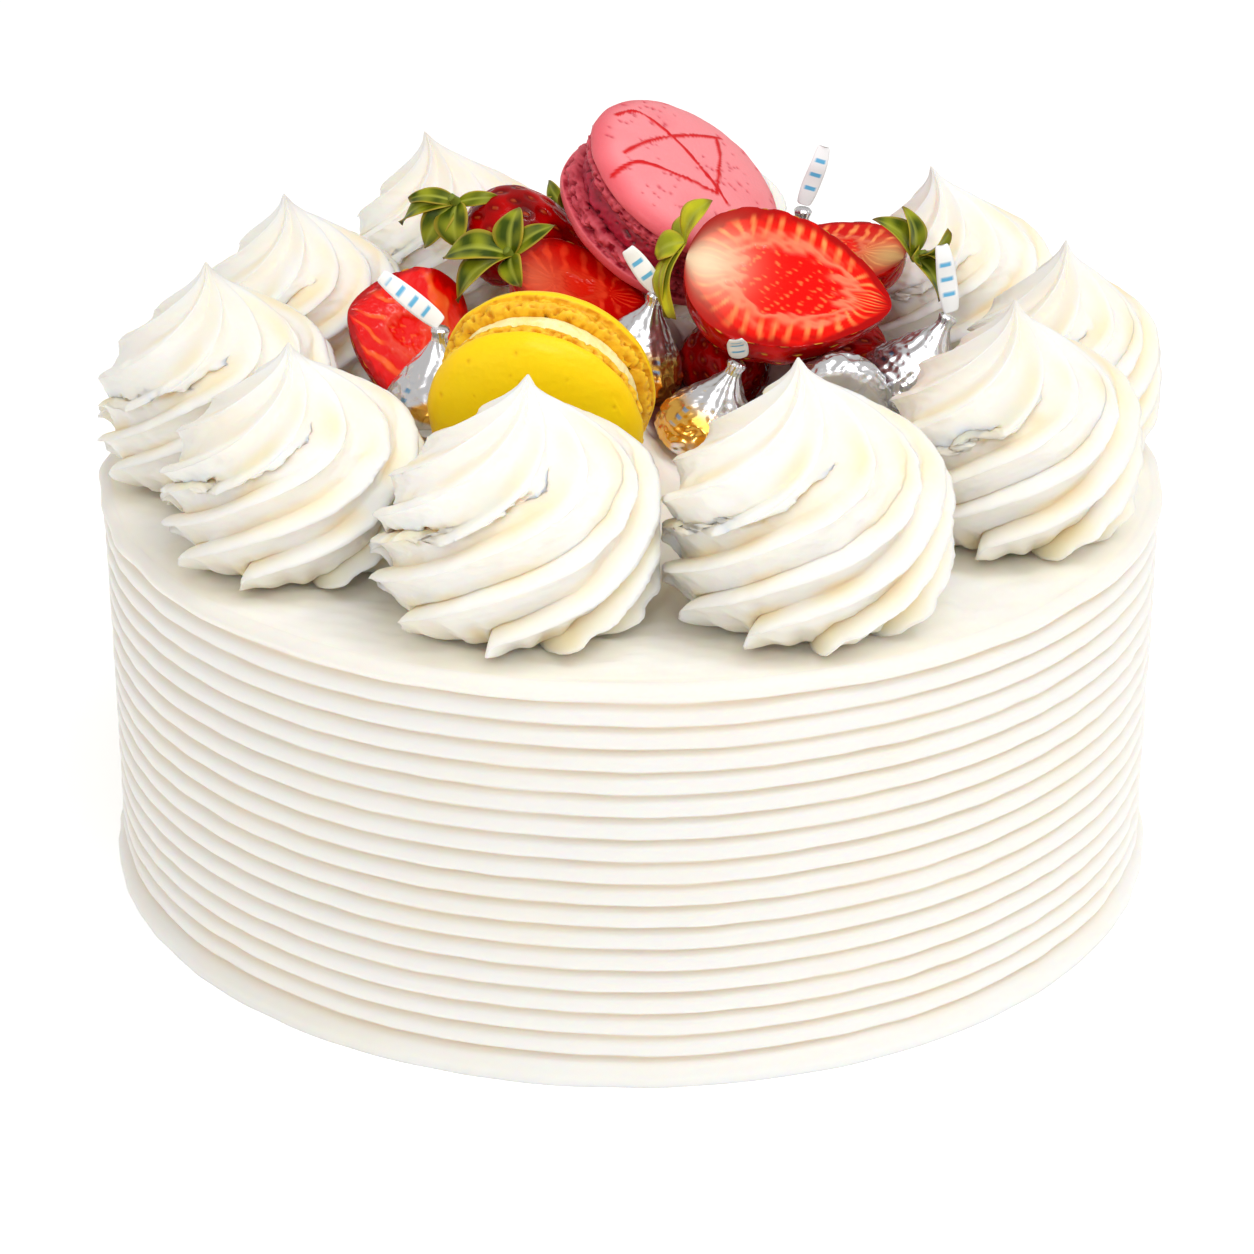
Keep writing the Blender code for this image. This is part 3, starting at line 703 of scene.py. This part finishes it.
# Middle, axis and radius, in mm
YELLOW_AT = ((-18.4, -30.5, 25.0), (-0.20, -0.935, -0.29), 22.5)
PINK_AT = ((8.6, 44.5, 42.8), (0.508, -0.30, 0.808), 24.0)
for name, place, tints, pits, lines, seed in (("macaron_yellow", YELLOW_AT, YELLOW, 26, None, 200),
                                              ("macaron_pink", PINK_AT, PINK, 110, GLAZE_LINES, 240)):
    for half, flip in (("upper", False), ("lower", True)):
        on_top = lines if half == "upper" else None
        piece = build_shell(name + "_" + half, *place, flip, tints, pits, on_top, seed + 15 * flip)
        finished(piece, name + "_shell_" + half, shell_finish)
piece = build_filling("yellow", *YELLOW_AT, srgb(252, 240, 180), srgb(244, 218, 120), 0.35, 300)
finished(piece, "macaron_yellow_filling", filling_finish)
piece = build_filling("pink", *PINK_AT, srgb(186, 36, 66), srgb(95, 8, 25), 1.0, 310)
finished(piece, "macaron_pink_filling", filling_finish)
print("macarons: 2, each of two shells and a filling")

# %% [markdown]
# ## Strawberries
#
# Each berry is a row of sections from its calyx end to its tip. A half has a flat cut face
# on one side. There the flesh shows as the plant grew it: a pale ring round a red core, and
# pale fibres that run out from the ring to every seed. The skin has a dimple with a seed at
# each place of a staggered lattice.

# %% Skin of a strawberry
SEED_PITCH = 3.5 * MM
SEEDS_AROUND = 13


def berry_width(share):
    """Half-width from the calyx end, 0, to the tip, 1: sin(pi share^0.72)^0.62."""
    return np.sin(math.pi * share ** 0.72) ** 0.62


def skin_of(share, turn, length, around, tints, seed):
    """Depth of the dimples and colour of the skin. The seeds stand on a staggered lattice, and
    a dimple is exp(-(distance / 2.4)^2) with the distance in seeds."""
    b = share * length / SEED_PITCH
    row = np.round(b)
    a = turn / (2 * math.pi) * SEEDS_AROUND + 0.5 * (row % 2)
    da = (a - np.round(a)) * around / SEEDS_AROUND
    db = (b - row) * SEED_PITCH
    far = np.hypot(da / (0.42 * MM), db / (0.68 * MM))
    grain = smooth(1.2, 0.75, far)
    dimple = np.exp(-(far / 2.4) ** 2)
    dark, bright, seed_tint = tints
    radius = around / 6
    place = np.stack([share * length + 0 * turn, radius * np.cos(turn), radius * np.sin(turn)], -1)
    # Painted shade: the skin is darker in the dimples round the seeds
    shade = mixed(bright, dark, 0.45 + 0.35 * lumps(place, 11, seed) + 0.5 * dimple)
    shade = mixed(shade, seed_tint, grain)
    return -0.45 * MM * dimple + 0.30 * MM * grain, shade


# %% Cut face of a strawberry
def flesh_of(share, w, look, seed):
    """Colour of the cut face. Level is 0 in the middle and 1 at the rim:
    (|w|^3 + |2 share - 1|^3)^(1/3). Fibres are stripes along the rim: a stretch beside the
    middle line counts by its length, and one round an end by its angle."""
    end = 2 * share - 1.0
    level = (np.abs(w) ** 3 + np.abs(end) ** 3) ** (1 / 3)
    place = np.stack([share * 0.04, w * 0.02, 0 * w + 0 * share], -1)
    foot = np.clip(end, -0.35, 0.45)
    turn = np.arctan2(np.abs(w) * 0.8, end - foot)
    run = np.sign(w) * (0.62 * turn + 0.45 - foot)
    if look["fan"]:
        run = np.arctan2(0.8 * w - 0.25, share + 0.12)
    fibre = np.cos(run * look["fibres"] / 0.6 + 0.7 * lumps(place, 7, seed + 1))
    fibre = smooth(0.1, 0.95, fibre) * smooth(look["ring"] - 0.05, look["ring"] + 0.15, level)
    if look["fan"]:
        fibre = fibre ** 2
    fibre = fibre * smooth(0.97, 0.80, level) * (0.8 + 0.3 * lumps(place, 5, seed))
    wobble = 0.06 * lumps(place, 6, seed + 2) + 0.03 * lumps(place, 2.2, seed + 3)
    ring = bump(level + wobble, look["ring"], 0.10)
    core = smooth(look["ring"] - 0.02, look["ring"] - 0.14, level + wobble)
    shade = mixed(look["flesh"], look["rim"], smooth(0.80, 1.0, level + wobble))
    shade = mixed(shade, look["fibre"], 0.85 * fibre)
    shade = mixed(shade, look["pale"], look["ring_strength"] * ring)
    shade = mixed(shade, look["core"], core * 0.95)
    # Pale strands in the core, which also stand for painted wet highlights
    strands_and_glints = smooth(0.75, 1.15, lumps(place, 1.6, seed + 4)) * core
    shade = mixed(shade, look["fibre"], 0.5 * strands_and_glints)
    heart = bump(share, look["heart_at"], 0.18) * bump(w, 0.0, 0.5)
    shade = mixed(shade, look["heart"], look["heart_strength"] * heart)
    relief = 0.16 * MM * ring - 0.30 * MM * core + 0.05 * MM * fibre + 0.10 * MM * wobble
    return relief, shade


# %% Whole and half strawberries
def build_berry(name, calyx_end, tip, face, width, depth, look, tints, seed):
    """Sections of a half berry, or of a whole one where the cut face has no look. Half: the
    skin turns from pi to 2 pi, and the cut face runs straight back from rim to rim."""
    whole = look is None
    start, end = lifted(calyx_end), lifted(tip)
    length = np.linalg.norm(end - start)
    basis = frame_of(end - start, face)
    rows = 124
    share = (0.5 - 0.5 * np.cos(np.linspace(0.06, math.pi - 0.05, rows)))[:, None]
    reach = berry_width(share)
    half = width / 2 * MM
    if whole:
        turn = (np.arange(200) * 2 * math.pi / 200)[None, :]
        below = depth / 2 * MM
    else:
        turn = np.linspace(math.pi, 2 * math.pi, 120)[None, :]
        below = depth * MM
    place = np.stack([share * length + 0 * turn, half * np.cos(turn) + 0 * share,
                      0 * turn + 0 * share], -1)
    rim = 1.0 - 0.018 * (1 + lumps(place, 8, seed + 20))
    around = 2 * math.pi * (half + below) / 2
    relief, shade = skin_of(share + 0 * turn, turn + 0 * share, length, around, tints, seed)
    relief = relief * smooth(0.0, 0.35, reach)
    y = (half * reach * rim + relief) * np.cos(turn)
    z = (below * reach * rim + relief) * np.sin(turn)
    x = share * length + 0 * turn
    core = 0.0
    if not whole:
        w = np.linspace(1.0, -1.0, 152)[None, 1:-1]
        face_relief, face_shade = flesh_of(share + 0 * w, w + 0 * share, look, seed + 5)
        fy = w * y[:, -1:] * 0.995
        fz = face_relief * (1 - np.abs(w) ** 6) * smooth(0.0, 0.3, reach)
        x = np.concatenate([x, share * length + 0 * w], 1)
        y = np.concatenate([y, fy], 1)
        z = np.concatenate([z, fz], 1)
        shade = np.concatenate([shade, face_shade], 1)
        core = -0.2 * depth * MM
    ends = [(share[0, 0] * length * 0.5, 0, core * 0.3), (length * 0.9995, 0, core * 0.1)]
    piece = closed_mesh("fruit_" + name, np.stack([x, y, z], -1), shade, ends,
                        [shade[0, 0], shade[-1, 0]], start, basis)
    return finished(piece, name, fruit)


# %% The eight strawberries
# Skin where dark and bright, and the seeds
SKIN = (srgb(128, 2, 2), srgb(214, 16, 6), srgb(226, 170, 60))
DARK_SKIN = (srgb(96, 0, 4), srgb(186, 8, 8), srgb(160, 60, 26))
RING_LOOK = {"fan": False, "fibres": 26, "ring": 0.56, "ring_strength": 0.75,
             "heart_at": 0.07, "heart_strength": 0.95,
             "flesh": srgb(232, 22, 0), "rim": srgb(170, 2, 0), "fibre": srgb(255, 150, 84),
             "pale": srgb(248, 140, 104), "core": srgb(232, 14, 0), "heart": srgb(255, 228, 190)}
GOLD_LOOK = {**RING_LOOK, "fibres": 18, "ring": 0.35, "ring_strength": 0.4, "heart_at": 0.08,
             "heart": srgb(248, 200, 130), "flesh": srgb(206, 12, 4)}
DARK_LOOK = {**RING_LOOK, "fibres": 14, "ring": 0.25, "ring_strength": 0.35, "heart_at": 0.18,
             "flesh": srgb(190, 10, 4), "rim": srgb(140, 2, 2), "fibre": srgb(226, 60, 34),
             "pale": srgb(230, 80, 46), "core": srgb(206, 30, 12), "heart": srgb(232, 110, 76),
             "heart_strength": 0.7}
FAN_LOOK = {**RING_LOOK, "fan": True, "fibres": 11, "ring": 0.3, "ring_strength": 0.2,
            "heart_at": 0.12, "flesh": srgb(232, 10, 0), "fibre": srgb(255, 110, 50),
            "heart": srgb(246, 84, 30), "heart_strength": 0.7}
# Name, calyx end, tip and direction of the cut face; then width and depth, in mm
build_berry("berry_right_half", (11.8, 8.0, 43.0), (55.6, 3.3, 33.2), (0.206, -0.44, 0.875),
            42.5, 16.5, RING_LOOK, SKIN, 400)
build_berry("berry_back_half", (59.3, 23.0, 37.4), (31.7, 36.6, 37.2), (0.05, -0.35, 0.93),
            22.0, 11.0, GOLD_LOOK, SKIN, 420)
build_berry("berry_middle_half", (-26.0, 19.6, 35.5), (3.2, 25.0, 26.6), (0.1, -0.40, 0.91),
            28.0, 11.0, DARK_LOOK, SKIN, 440)
build_berry("berry_left_half", (-36.0, 14.0, 19.0), (-61.0, 10.0, 30.0), (-0.1, -0.70, 0.70),
            33.0, 12.0, FAN_LOOK, SKIN, 460)
build_berry("berry_whole", (-37.5, 46.2, 37.0), (-9.6, 42.4, 31.6), (0.0, -0.3, 0.95),
            24.0, 23.0, None, DARK_SKIN, 480)
build_berry("berry_rear", (-13.4, 62.0, 32.8), (2.0, 59.0, 12.5), (0.0, -0.3, 0.95),
            21.0, 21.0, None, SKIN, 500)
build_berry("berry_low_front", (20.0, 38.0, 12.0), (22.0, 8.0, 11.0), (0.0, 0.0, 1.0),
            21.0, 20.0, None, DARK_SKIN, 520)
build_berry("berry_low_right", (34.5, 27.5, 15.9), (56.5, 25.0, 16.4), (0.0, 0.0, 1.0),
            21.0, 21.0, None, DARK_SKIN, 540)
print("strawberries: 4 halves and 4 whole")

# %% [markdown]
# ## Calyx leaves
#
# The leaves are small, broad and pointed, and every one curls its own way. Each is a thin
# closed sheet along a bent line from the stalk to its tip, with a lighter vein and an
# olive-brown edge.

# %% One leaf
OLIVE = srgb(144, 150, 34)
DARK_OLIVE = srgb(58, 74, 8)
FRESH = srgb(200, 198, 40)
VEIN = srgb(172, 178, 72)
LEAF_EDGE = srgb(196, 168, 58)
LEAF_TIP = srgb(120, 92, 40)
LEAF_ROWS = 26
LEAF_COLUMNS = 9


def leaf_of(origin, out, tip, share, light, dark, rng, seed):
    """Points and colours of one leaf. Half its width is 0.6 * share * L * sin(pi t^0.85)^0.62
    along t from 0 to 1, and it folds along its vein."""
    t = np.linspace(0.0, 1.0, LEAF_ROWS)[:, None]
    s = np.linspace(-1.0, 1.0, LEAF_COLUMNS)[None, :]
    reach = np.array(tip) * MM
    long = np.linalg.norm(reach)
    along = reach / long
    flat = unit(out + 0.35 * rng.uniform(-1, 1, 3) - along * np.dot(out, along) + 1e-6)
    side = unit(np.cross(flat, along))
    lift = np.cross(along, side)
    half = 0.6 * share * long * np.sin(math.pi * np.clip(t, 0.02, 0.995) ** 0.85) ** 0.62
    bend = long * (0.16 * np.sin(math.pi * t) + 0.05 * rng.uniform(-1, 1) * t ** 2)
    fold = 0.30 * half * np.abs(s) + 0.06 * long * np.sin(5 * t + rng.uniform(0, 6)) * s * t
    middle = origin + reach * t + lift * bend
    top = middle[:, None, :] + side * (half * s)[..., None] + lift * fold[..., None]
    thick = lift * 0.28 * MM * (1 - 0.8 * np.abs(s) ** 2)[..., None]
    ring = np.concatenate([top + thick, (top - thick)[:, ::-1]], 1)
    green = mixed(light, dark, 0.5 + 0.5 * lumps(top, 6, seed))
    green = mixed(green, VEIN, bump(s, 0.0, 0.10) * (1 - 0.7 * t))
    green = mixed(green, LEAF_EDGE, smooth(0.86, 1.0, np.abs(s)) * 0.8)
    green = mixed(green, LEAF_TIP, smooth(0.88, 1.0, t) * 0.8)
    # Painted shade: the second face of every leaf is 0.6 times as bright as the first
    tint = np.concatenate([green, green[:, ::-1] * 0.6], 1).reshape(-1, 3)
    return (np.concatenate([ring.reshape(-1, 3), middle[:1], middle[-1:]]),
            np.concatenate([tint, tint[:1], tint[-1:]]))


# %% Leaves and stalks
STALK = srgb(120, 132, 50)
STALK_ROWS = 10
STALK_COLUMNS = 12


def stalk_of(origin, out, long):
    """Points of a short bent stub: r = 1.1 mm * (1.15 - 0.3 t) along t out - 0.25 t^2 first."""
    t = np.linspace(0, 1, STALK_ROWS)[:, None]
    turn = np.arange(STALK_COLUMNS)[None, :] * 2 * math.pi / STALK_COLUMNS
    first = unit(np.cross(out, (0.1, 0.2, 1.0)))
    second = np.cross(out, first)
    body = origin + out * long * MM * t - first * 0.25 * long * MM * t ** 2
    r = 1.1 * MM * (1.15 - 0.3 * t)
    ring = body[:, None, :] + (r * np.cos(turn))[..., None] * first
    ring = ring + (r * np.sin(turn))[..., None] * second
    return np.concatenate([ring.reshape(-1, 3), body[:1], body[-1:]])


def build_leaves(name, centre, out, tips, stalk, seed, light=OLIVE, dark=DARK_OLIVE):
    """All the leaves of one calyx, and its stalk where one is given, as one mesh."""
    rng = np.random.default_rng(seed)
    origin = lifted(centre)
    out = unit(out)
    points, tints, quads, triangles = [], [], [], []
    count = 0
    columns = 2 * LEAF_COLUMNS
    for tip, share in tips:
        leaf, tint = leaf_of(origin, out, tip, share, light, dark, rng, seed + count)
        points.append(leaf)
        tints.append(tint)
        quads.append(grid_faces(LEAF_ROWS, columns, count))
        triangles.append(cap_faces(LEAF_ROWS, columns) + count)
        count += len(leaf)
    if stalk:
        points.append(stalk_of(origin, out, stalk))
        tints.append(np.tile(STALK, (len(points[-1]), 1)))
        quads.append(grid_faces(STALK_ROWS, STALK_COLUMNS, count))
        triangles.append(cap_faces(STALK_ROWS, STALK_COLUMNS) + count)
    piece = make_mesh("leaves_" + name, np.concatenate(points),
                      [np.concatenate(quads), np.concatenate(triangles)], np.concatenate(tints))
    return finished(piece, name, leaf_finish)


# %% The five calyxes
# Each leaf: where its tip is from the stalk end, in mm, and its width as a share of its length
build_leaves("calyx_right_half", (11.6, 6.9, 46.4), (-0.90, -0.15, 0.42),
             [((5.8, -1.0, 9.6), 0.55), ((-6.5, 2.5, -3.8), 0.75), ((-4.7, -5.0, -15.0), 0.4),
              ((-2.5, -9.0, -14.0), 0.34), ((1.6, 7.6, 5.5), 0.55)], 0.0, 600, FRESH, OLIVE)
build_leaves("calyx_back_half", (61.2, 21.8, 38.0), (0.80, -0.45, 0.40),
             [((-8.5, -2.0, 9.5), 0.5), ((-2.5, 1.5, 11.0), 0.5), ((7.5, -0.8, 6.8), 0.55),
              ((8.5, -3.0, -2.5), 0.6), ((6.0, -5.5, -8.0), 0.5), ((-0.5, -6.5, 2.0), 0.6)], 3.0, 620)
build_leaves("calyx_middle_half", (-26.0, 17.8, 39.6), (-0.55, -0.40, 0.75),
             [((-15.0, 4.0, -1.5), 0.46), ((2.0, 5.6, 9.0), 0.62), ((9.6, 1.6, 6.6), 0.34),
              ((-11.6, -5.5, -8.5), 0.55), ((2.0, -7.0, -4.5), 0.6)], 2.5, 640)
build_leaves("calyx_whole", (-38.6, 43.4, 43.2), (-0.62, -0.45, 0.64),
             [((-13.0, 3.9, -6.3), 0.36), ((-11.0, 5.0, -1.2), 0.32), ((-7.6, -1.6, -10.0), 0.46),
              ((0.5, -6.0, -8.5), 0.7), ((9.6, -1.5, 1.6), 0.3)], 3.0, 660)
build_leaves("calyx_rear", (-14.2, 62.0, 35.0), (-0.75, 0.0, 0.66),
             [((-8.0, 4.0, -0.6), 0.4), ((-4.8, 6.5, 5.2), 0.34), ((1.4, -3.5, 7.6), 0.5)], 0.0, 680)
print("calyxes: 5")

# %% [markdown]
# ## Foil-wrapped drops and paper flags
#
# Thin foil pressed over a drop keeps sharp flat facets below and long folds where it is
# gathered to a twist. A paper strip is caught in the twist. The strips carry plain pale-blue
# bars, and the lower foil of some drops has a painted yellow reflection of the macaron on
# one side.

# %% Foil-wrapped drops
DROP_RADIUS = 11.2 * MM
DROP_HEIGHT = 22 * MM
# The profile: share of the radius at each share of the height
DROP_UP = [0.0, 0.03, 0.12, 0.26, 0.38, 0.48, 0.6, 0.70, 0.80, 0.86, 0.91, 0.97, 1.0]
DROP_OUT = [0.78, 0.90, 0.985, 0.975, 0.88, 0.755, 0.57, 0.40, 0.24, 0.165, 0.15, 0.19, 0.14]
# The last colour paints a yellow reflection of the macaron on the foil
SILVER, BLUE, YELLOW_REFLECTION = srgb(226, 226, 230), srgb(72, 150, 205), srgb(240, 176, 30)


def build_drop(name, base, tip_direction, seed, reflection_towards=(0.0, 0.0, 0.0)):
    """r = profile(h) * (1 + folds * cos(9 a + noise) + creases), creases = 1 - |noise|. The
    lower foil has a painted yellow reflection of the macaron on the side that faces the
    direction reflection_towards."""
    axis = unit(tip_direction)
    side = np.array([1.0, 0.0, 0.0])
    if abs(axis[1]) < 0.9:
        side = unit(np.cross((0.0, 1.0, 0.0), axis))
    side = unit(side - axis * np.dot(side, axis))
    basis = np.column_stack([side, np.cross(axis, side), axis])
    h = np.linspace(0.0, 1.0, 96)[:, None]
    a = (np.arange(160) * 2 * math.pi / 160)[None, :]
    profile = np.interp(h, DROP_UP, DROP_OUT)
    place = np.stack([profile * np.cos(a), profile * np.sin(a), 2 * h + 0 * a], -1) * DROP_RADIUS
    crease = 1 - np.abs(lumps(place, 9, seed)) - 0.6 * np.abs(lumps(place, 4.5, seed + 1))
    sharp = 1 - np.abs(lumps(place, 6, seed + 4))
    folds = np.cos(9 * a + 2.5 * lumps(place, 12, seed + 2) + 3 * h)
    folds = 0.05 * smooth(0.35, 0.85, h) * folds
    r = profile * DROP_RADIUS * (1 + folds + 0.028 * crease + 0.018 * sharp
                                 + 0.012 * lumps(place, 2, seed + 3) - 0.03)
    r = np.minimum(r, DROP_RADIUS * 0.995)
    stripe = smooth(0.86, 0.94, np.cos(5 * a + 1.3 * seed))
    stripe = stripe * smooth(0.25, 0.3, h) * smooth(0.52, 0.47, h)
    dashes = stripe * smooth(0.0, 0.3, np.sin(h * 75))
    tint = mixed(SILVER, BLUE, 0.8 * dashes)
    facing = np.cos(a) * np.dot(side, reflection_towards) + np.sin(a) * np.dot(basis[:, 1], reflection_towards)
    # Painted reflection of the yellow macaron on the lower foil
    reflection_share = smooth(0.3, 0.6, facing + 0.3 * lumps(place, 8, seed + 5)) * smooth(0.58, 0.42, h)
    tint = mixed(tint, YELLOW_REFLECTION, 0.9 * reflection_share * (1 - 0.8 * dashes))
    grid = np.stack([r * np.cos(a), r * np.sin(a), DROP_HEIGHT * h + 0 * a], -1)
    origin = lifted(base)
    piece = closed_mesh("foil_" + name, grid, tint, [(0, 0, 0), (0, 0, DROP_HEIGHT)],
                        [tint[0, 0], tint[-1, 0]], origin, basis)
    finished(piece, name, foil_finish)
    return origin + axis * (DROP_HEIGHT + 2.6 * GAP)


# %% Paper flags
FLAG_HALF = 2.2 * MM
FLAG_WHITE, FLAG_BLUE = srgb(246, 248, 250), srgb(96, 180, 226)


def build_flag(name, start, first, across, length, curl, seed):
    """A thin strip along c(t) = start + L t * first + curl L t^2 / 2 * normal."""
    first, across = unit(first), unit(across)
    across = unit(across - first * np.dot(across, first))
    normal = np.cross(first, across)
    t = np.linspace(0.0, 1.0, 60)[:, None]
    s = np.linspace(-1.0, 1.0, 9)[None, :]
    long = length * MM
    middle = start + long * t * first + curl * long * t ** 2 / 2 * normal
    half = FLAG_HALF * (0.55 + 0.45 * np.sin(math.pi * t ** 0.8) ** 0.5)
    ripple = 0.35 * MM * np.sin(9 * t + seed) * t
    dish = 0.30 * MM * s ** 2
    top = middle[:, None, :] + across * (half * s)[..., None]
    top = top + normal * (ripple + dish)[..., None]
    thick = normal * 0.09 * MM
    ring = np.concatenate([top - thick, (top + thick)[:, ::-1]], 1)
    bars = smooth(0.55, 0.75, np.sin(t * length * 1.9)) * smooth(0.75, 0.55, np.abs(s))
    bars = bars * smooth(0.08, 0.16, t) * smooth(0.92, 0.84, t)
    tint = mixed(FLAG_WHITE, FLAG_BLUE, bars)
    tint = np.concatenate([tint, tint[:, ::-1]], 1)
    piece = closed_mesh("paper_" + name, ring, tint, middle[[0, -1]], [tint[0, 0], tint[-1, -1]])
    return finished(piece, name, paper_finish)


# %% The drops and their flags
tip_left = build_drop("drop_left", (-42.0, -7.2, 10.6), (0.08, 0.0, 0.99), 700, (0.8, -0.6, 0.0))
tip_middle = build_drop("drop_middle", (-1.0, 7.5, 13.8), (0.30, 0.0, 0.95), 710, (0.7, -0.7, 0.0))
tip_front = build_drop("drop_front", (14.2, -8.5, 5.4), (0.38, -0.05, 0.92), 720, (-0.8, -0.6, 0.0))
build_drop("drop_side", (43.8, -15.0, 16.5), (0.1, 0.98, 0.15), 730)
tip_right = build_drop("drop_right", (58.0, 7.5, 10.0), (0.48, 0.07, 0.87), 740)
tip_back = build_drop("drop_back", (37.0, 61.5, 14.0), (0.1, 0.0, 0.99), 750)
build_flag("flag_left", tip_left, (-0.75, 0.0, 0.65), (0.65, 0.3, 0.75), 16.0, 0.3, 1)
build_flag("flag_middle", tip_middle, (-0.6, -0.1, 0.8), (0.8, 0.0, 0.6), 11.0, 0.4, 2)
build_flag("flag_front", tip_front, (-0.10, -0.74, 0.66), (1.0, 0.0, 0.1), 12.5, -0.1, 3)
build_flag("flag_right", tip_right, (-0.15, 0.0, 0.99), (1.0, 0.2, 0.1), 15.0, 0.15, 4)
build_flag("flag_back", tip_back, (0.35, 0.0, 0.93), (0.9, 0.2, -0.3), 14.0, 0.2, 5)
print("drops: 6, flags: 5")

# %% [markdown]
# ## Floor and light
#
# The photograph is high-key: bright from all round, with soft shadows. A broad lamp above and a
# small one from the right give the shape its shade, and a narrow lamp from the front lights the
# heap between the swirls. The floor is plain and pale.

# %% Floor and world
floor_mesh = bpy.data.meshes.new("floor")
floor_mesh.from_pydata([(-6, -6, 0), (6, -6, 0), (6, 6, 0), (-6, 6, 0)], [], [(0, 1, 2, 3)])
floor = bpy.data.objects.new("floor", floor_mesh)
bpy.context.scene.collection.objects.link(floor)
floor_finish, tree, shader = shader_of("floor", 0.7)
shader.inputs["Base Color"].default_value = (0.95, 0.95, 0.95, 1.0)
shader.inputs["Emission Color"].default_value = (1.0, 1.0, 1.0, 1.0)
shader.inputs["Emission Strength"].default_value = 0.33
floor_mesh.materials.append(floor_finish)

world = bpy.data.worlds.new("world")
world.use_nodes = True
world.node_tree.nodes["Background"].inputs["Color"].default_value = (1.0, 0.98, 0.945, 1.0)
world.node_tree.nodes["Background"].inputs["Strength"].default_value = 0.61
bpy.context.scene.world = world

# %% Lamps
from mathutils import Matrix


def add_lamp(name, place, target, size, watts, kind="AREA"):
    """A square area lamp, or a spot with a round bulb, that faces its target."""
    lamp = bpy.data.lights.new(name, kind)
    if kind == "AREA":
        lamp.size = size
    else:
        lamp.shadow_soft_size = size
    lamp.energy = watts
    made = bpy.data.objects.new(name, lamp)
    away = unit(np.array(place) - np.array(target))
    side = unit(np.cross((0.0, 0.0, 1.0), away))
    lift = np.cross(away, side)
    rows = [(side[i], lift[i], away[i], place[i]) for i in range(3)] + [(0, 0, 0, 1)]
    made.matrix_world = Matrix(rows)
    bpy.context.scene.collection.objects.link(made)
    return made


add_lamp("over", (0.3, -0.55, 1.35), (0.0, 0.0, 0.09), 1.2, 8.0)
fill = add_lamp("fill", (-0.12, -0.8, 0.55), (0.0, 0.01, 0.135), 0.05, 9.0, "SPOT")
fill.data.spot_size = math.radians(15)
fill.data.spot_blend = 1.0
add_lamp("key", (0.6, -0.35, 1.15), (0.0, 0.0, 0.09), 0.18, 2.0)
bpy.context.scene.view_settings.view_transform = "Standard"
print("lamps:", len(bpy.data.lights))
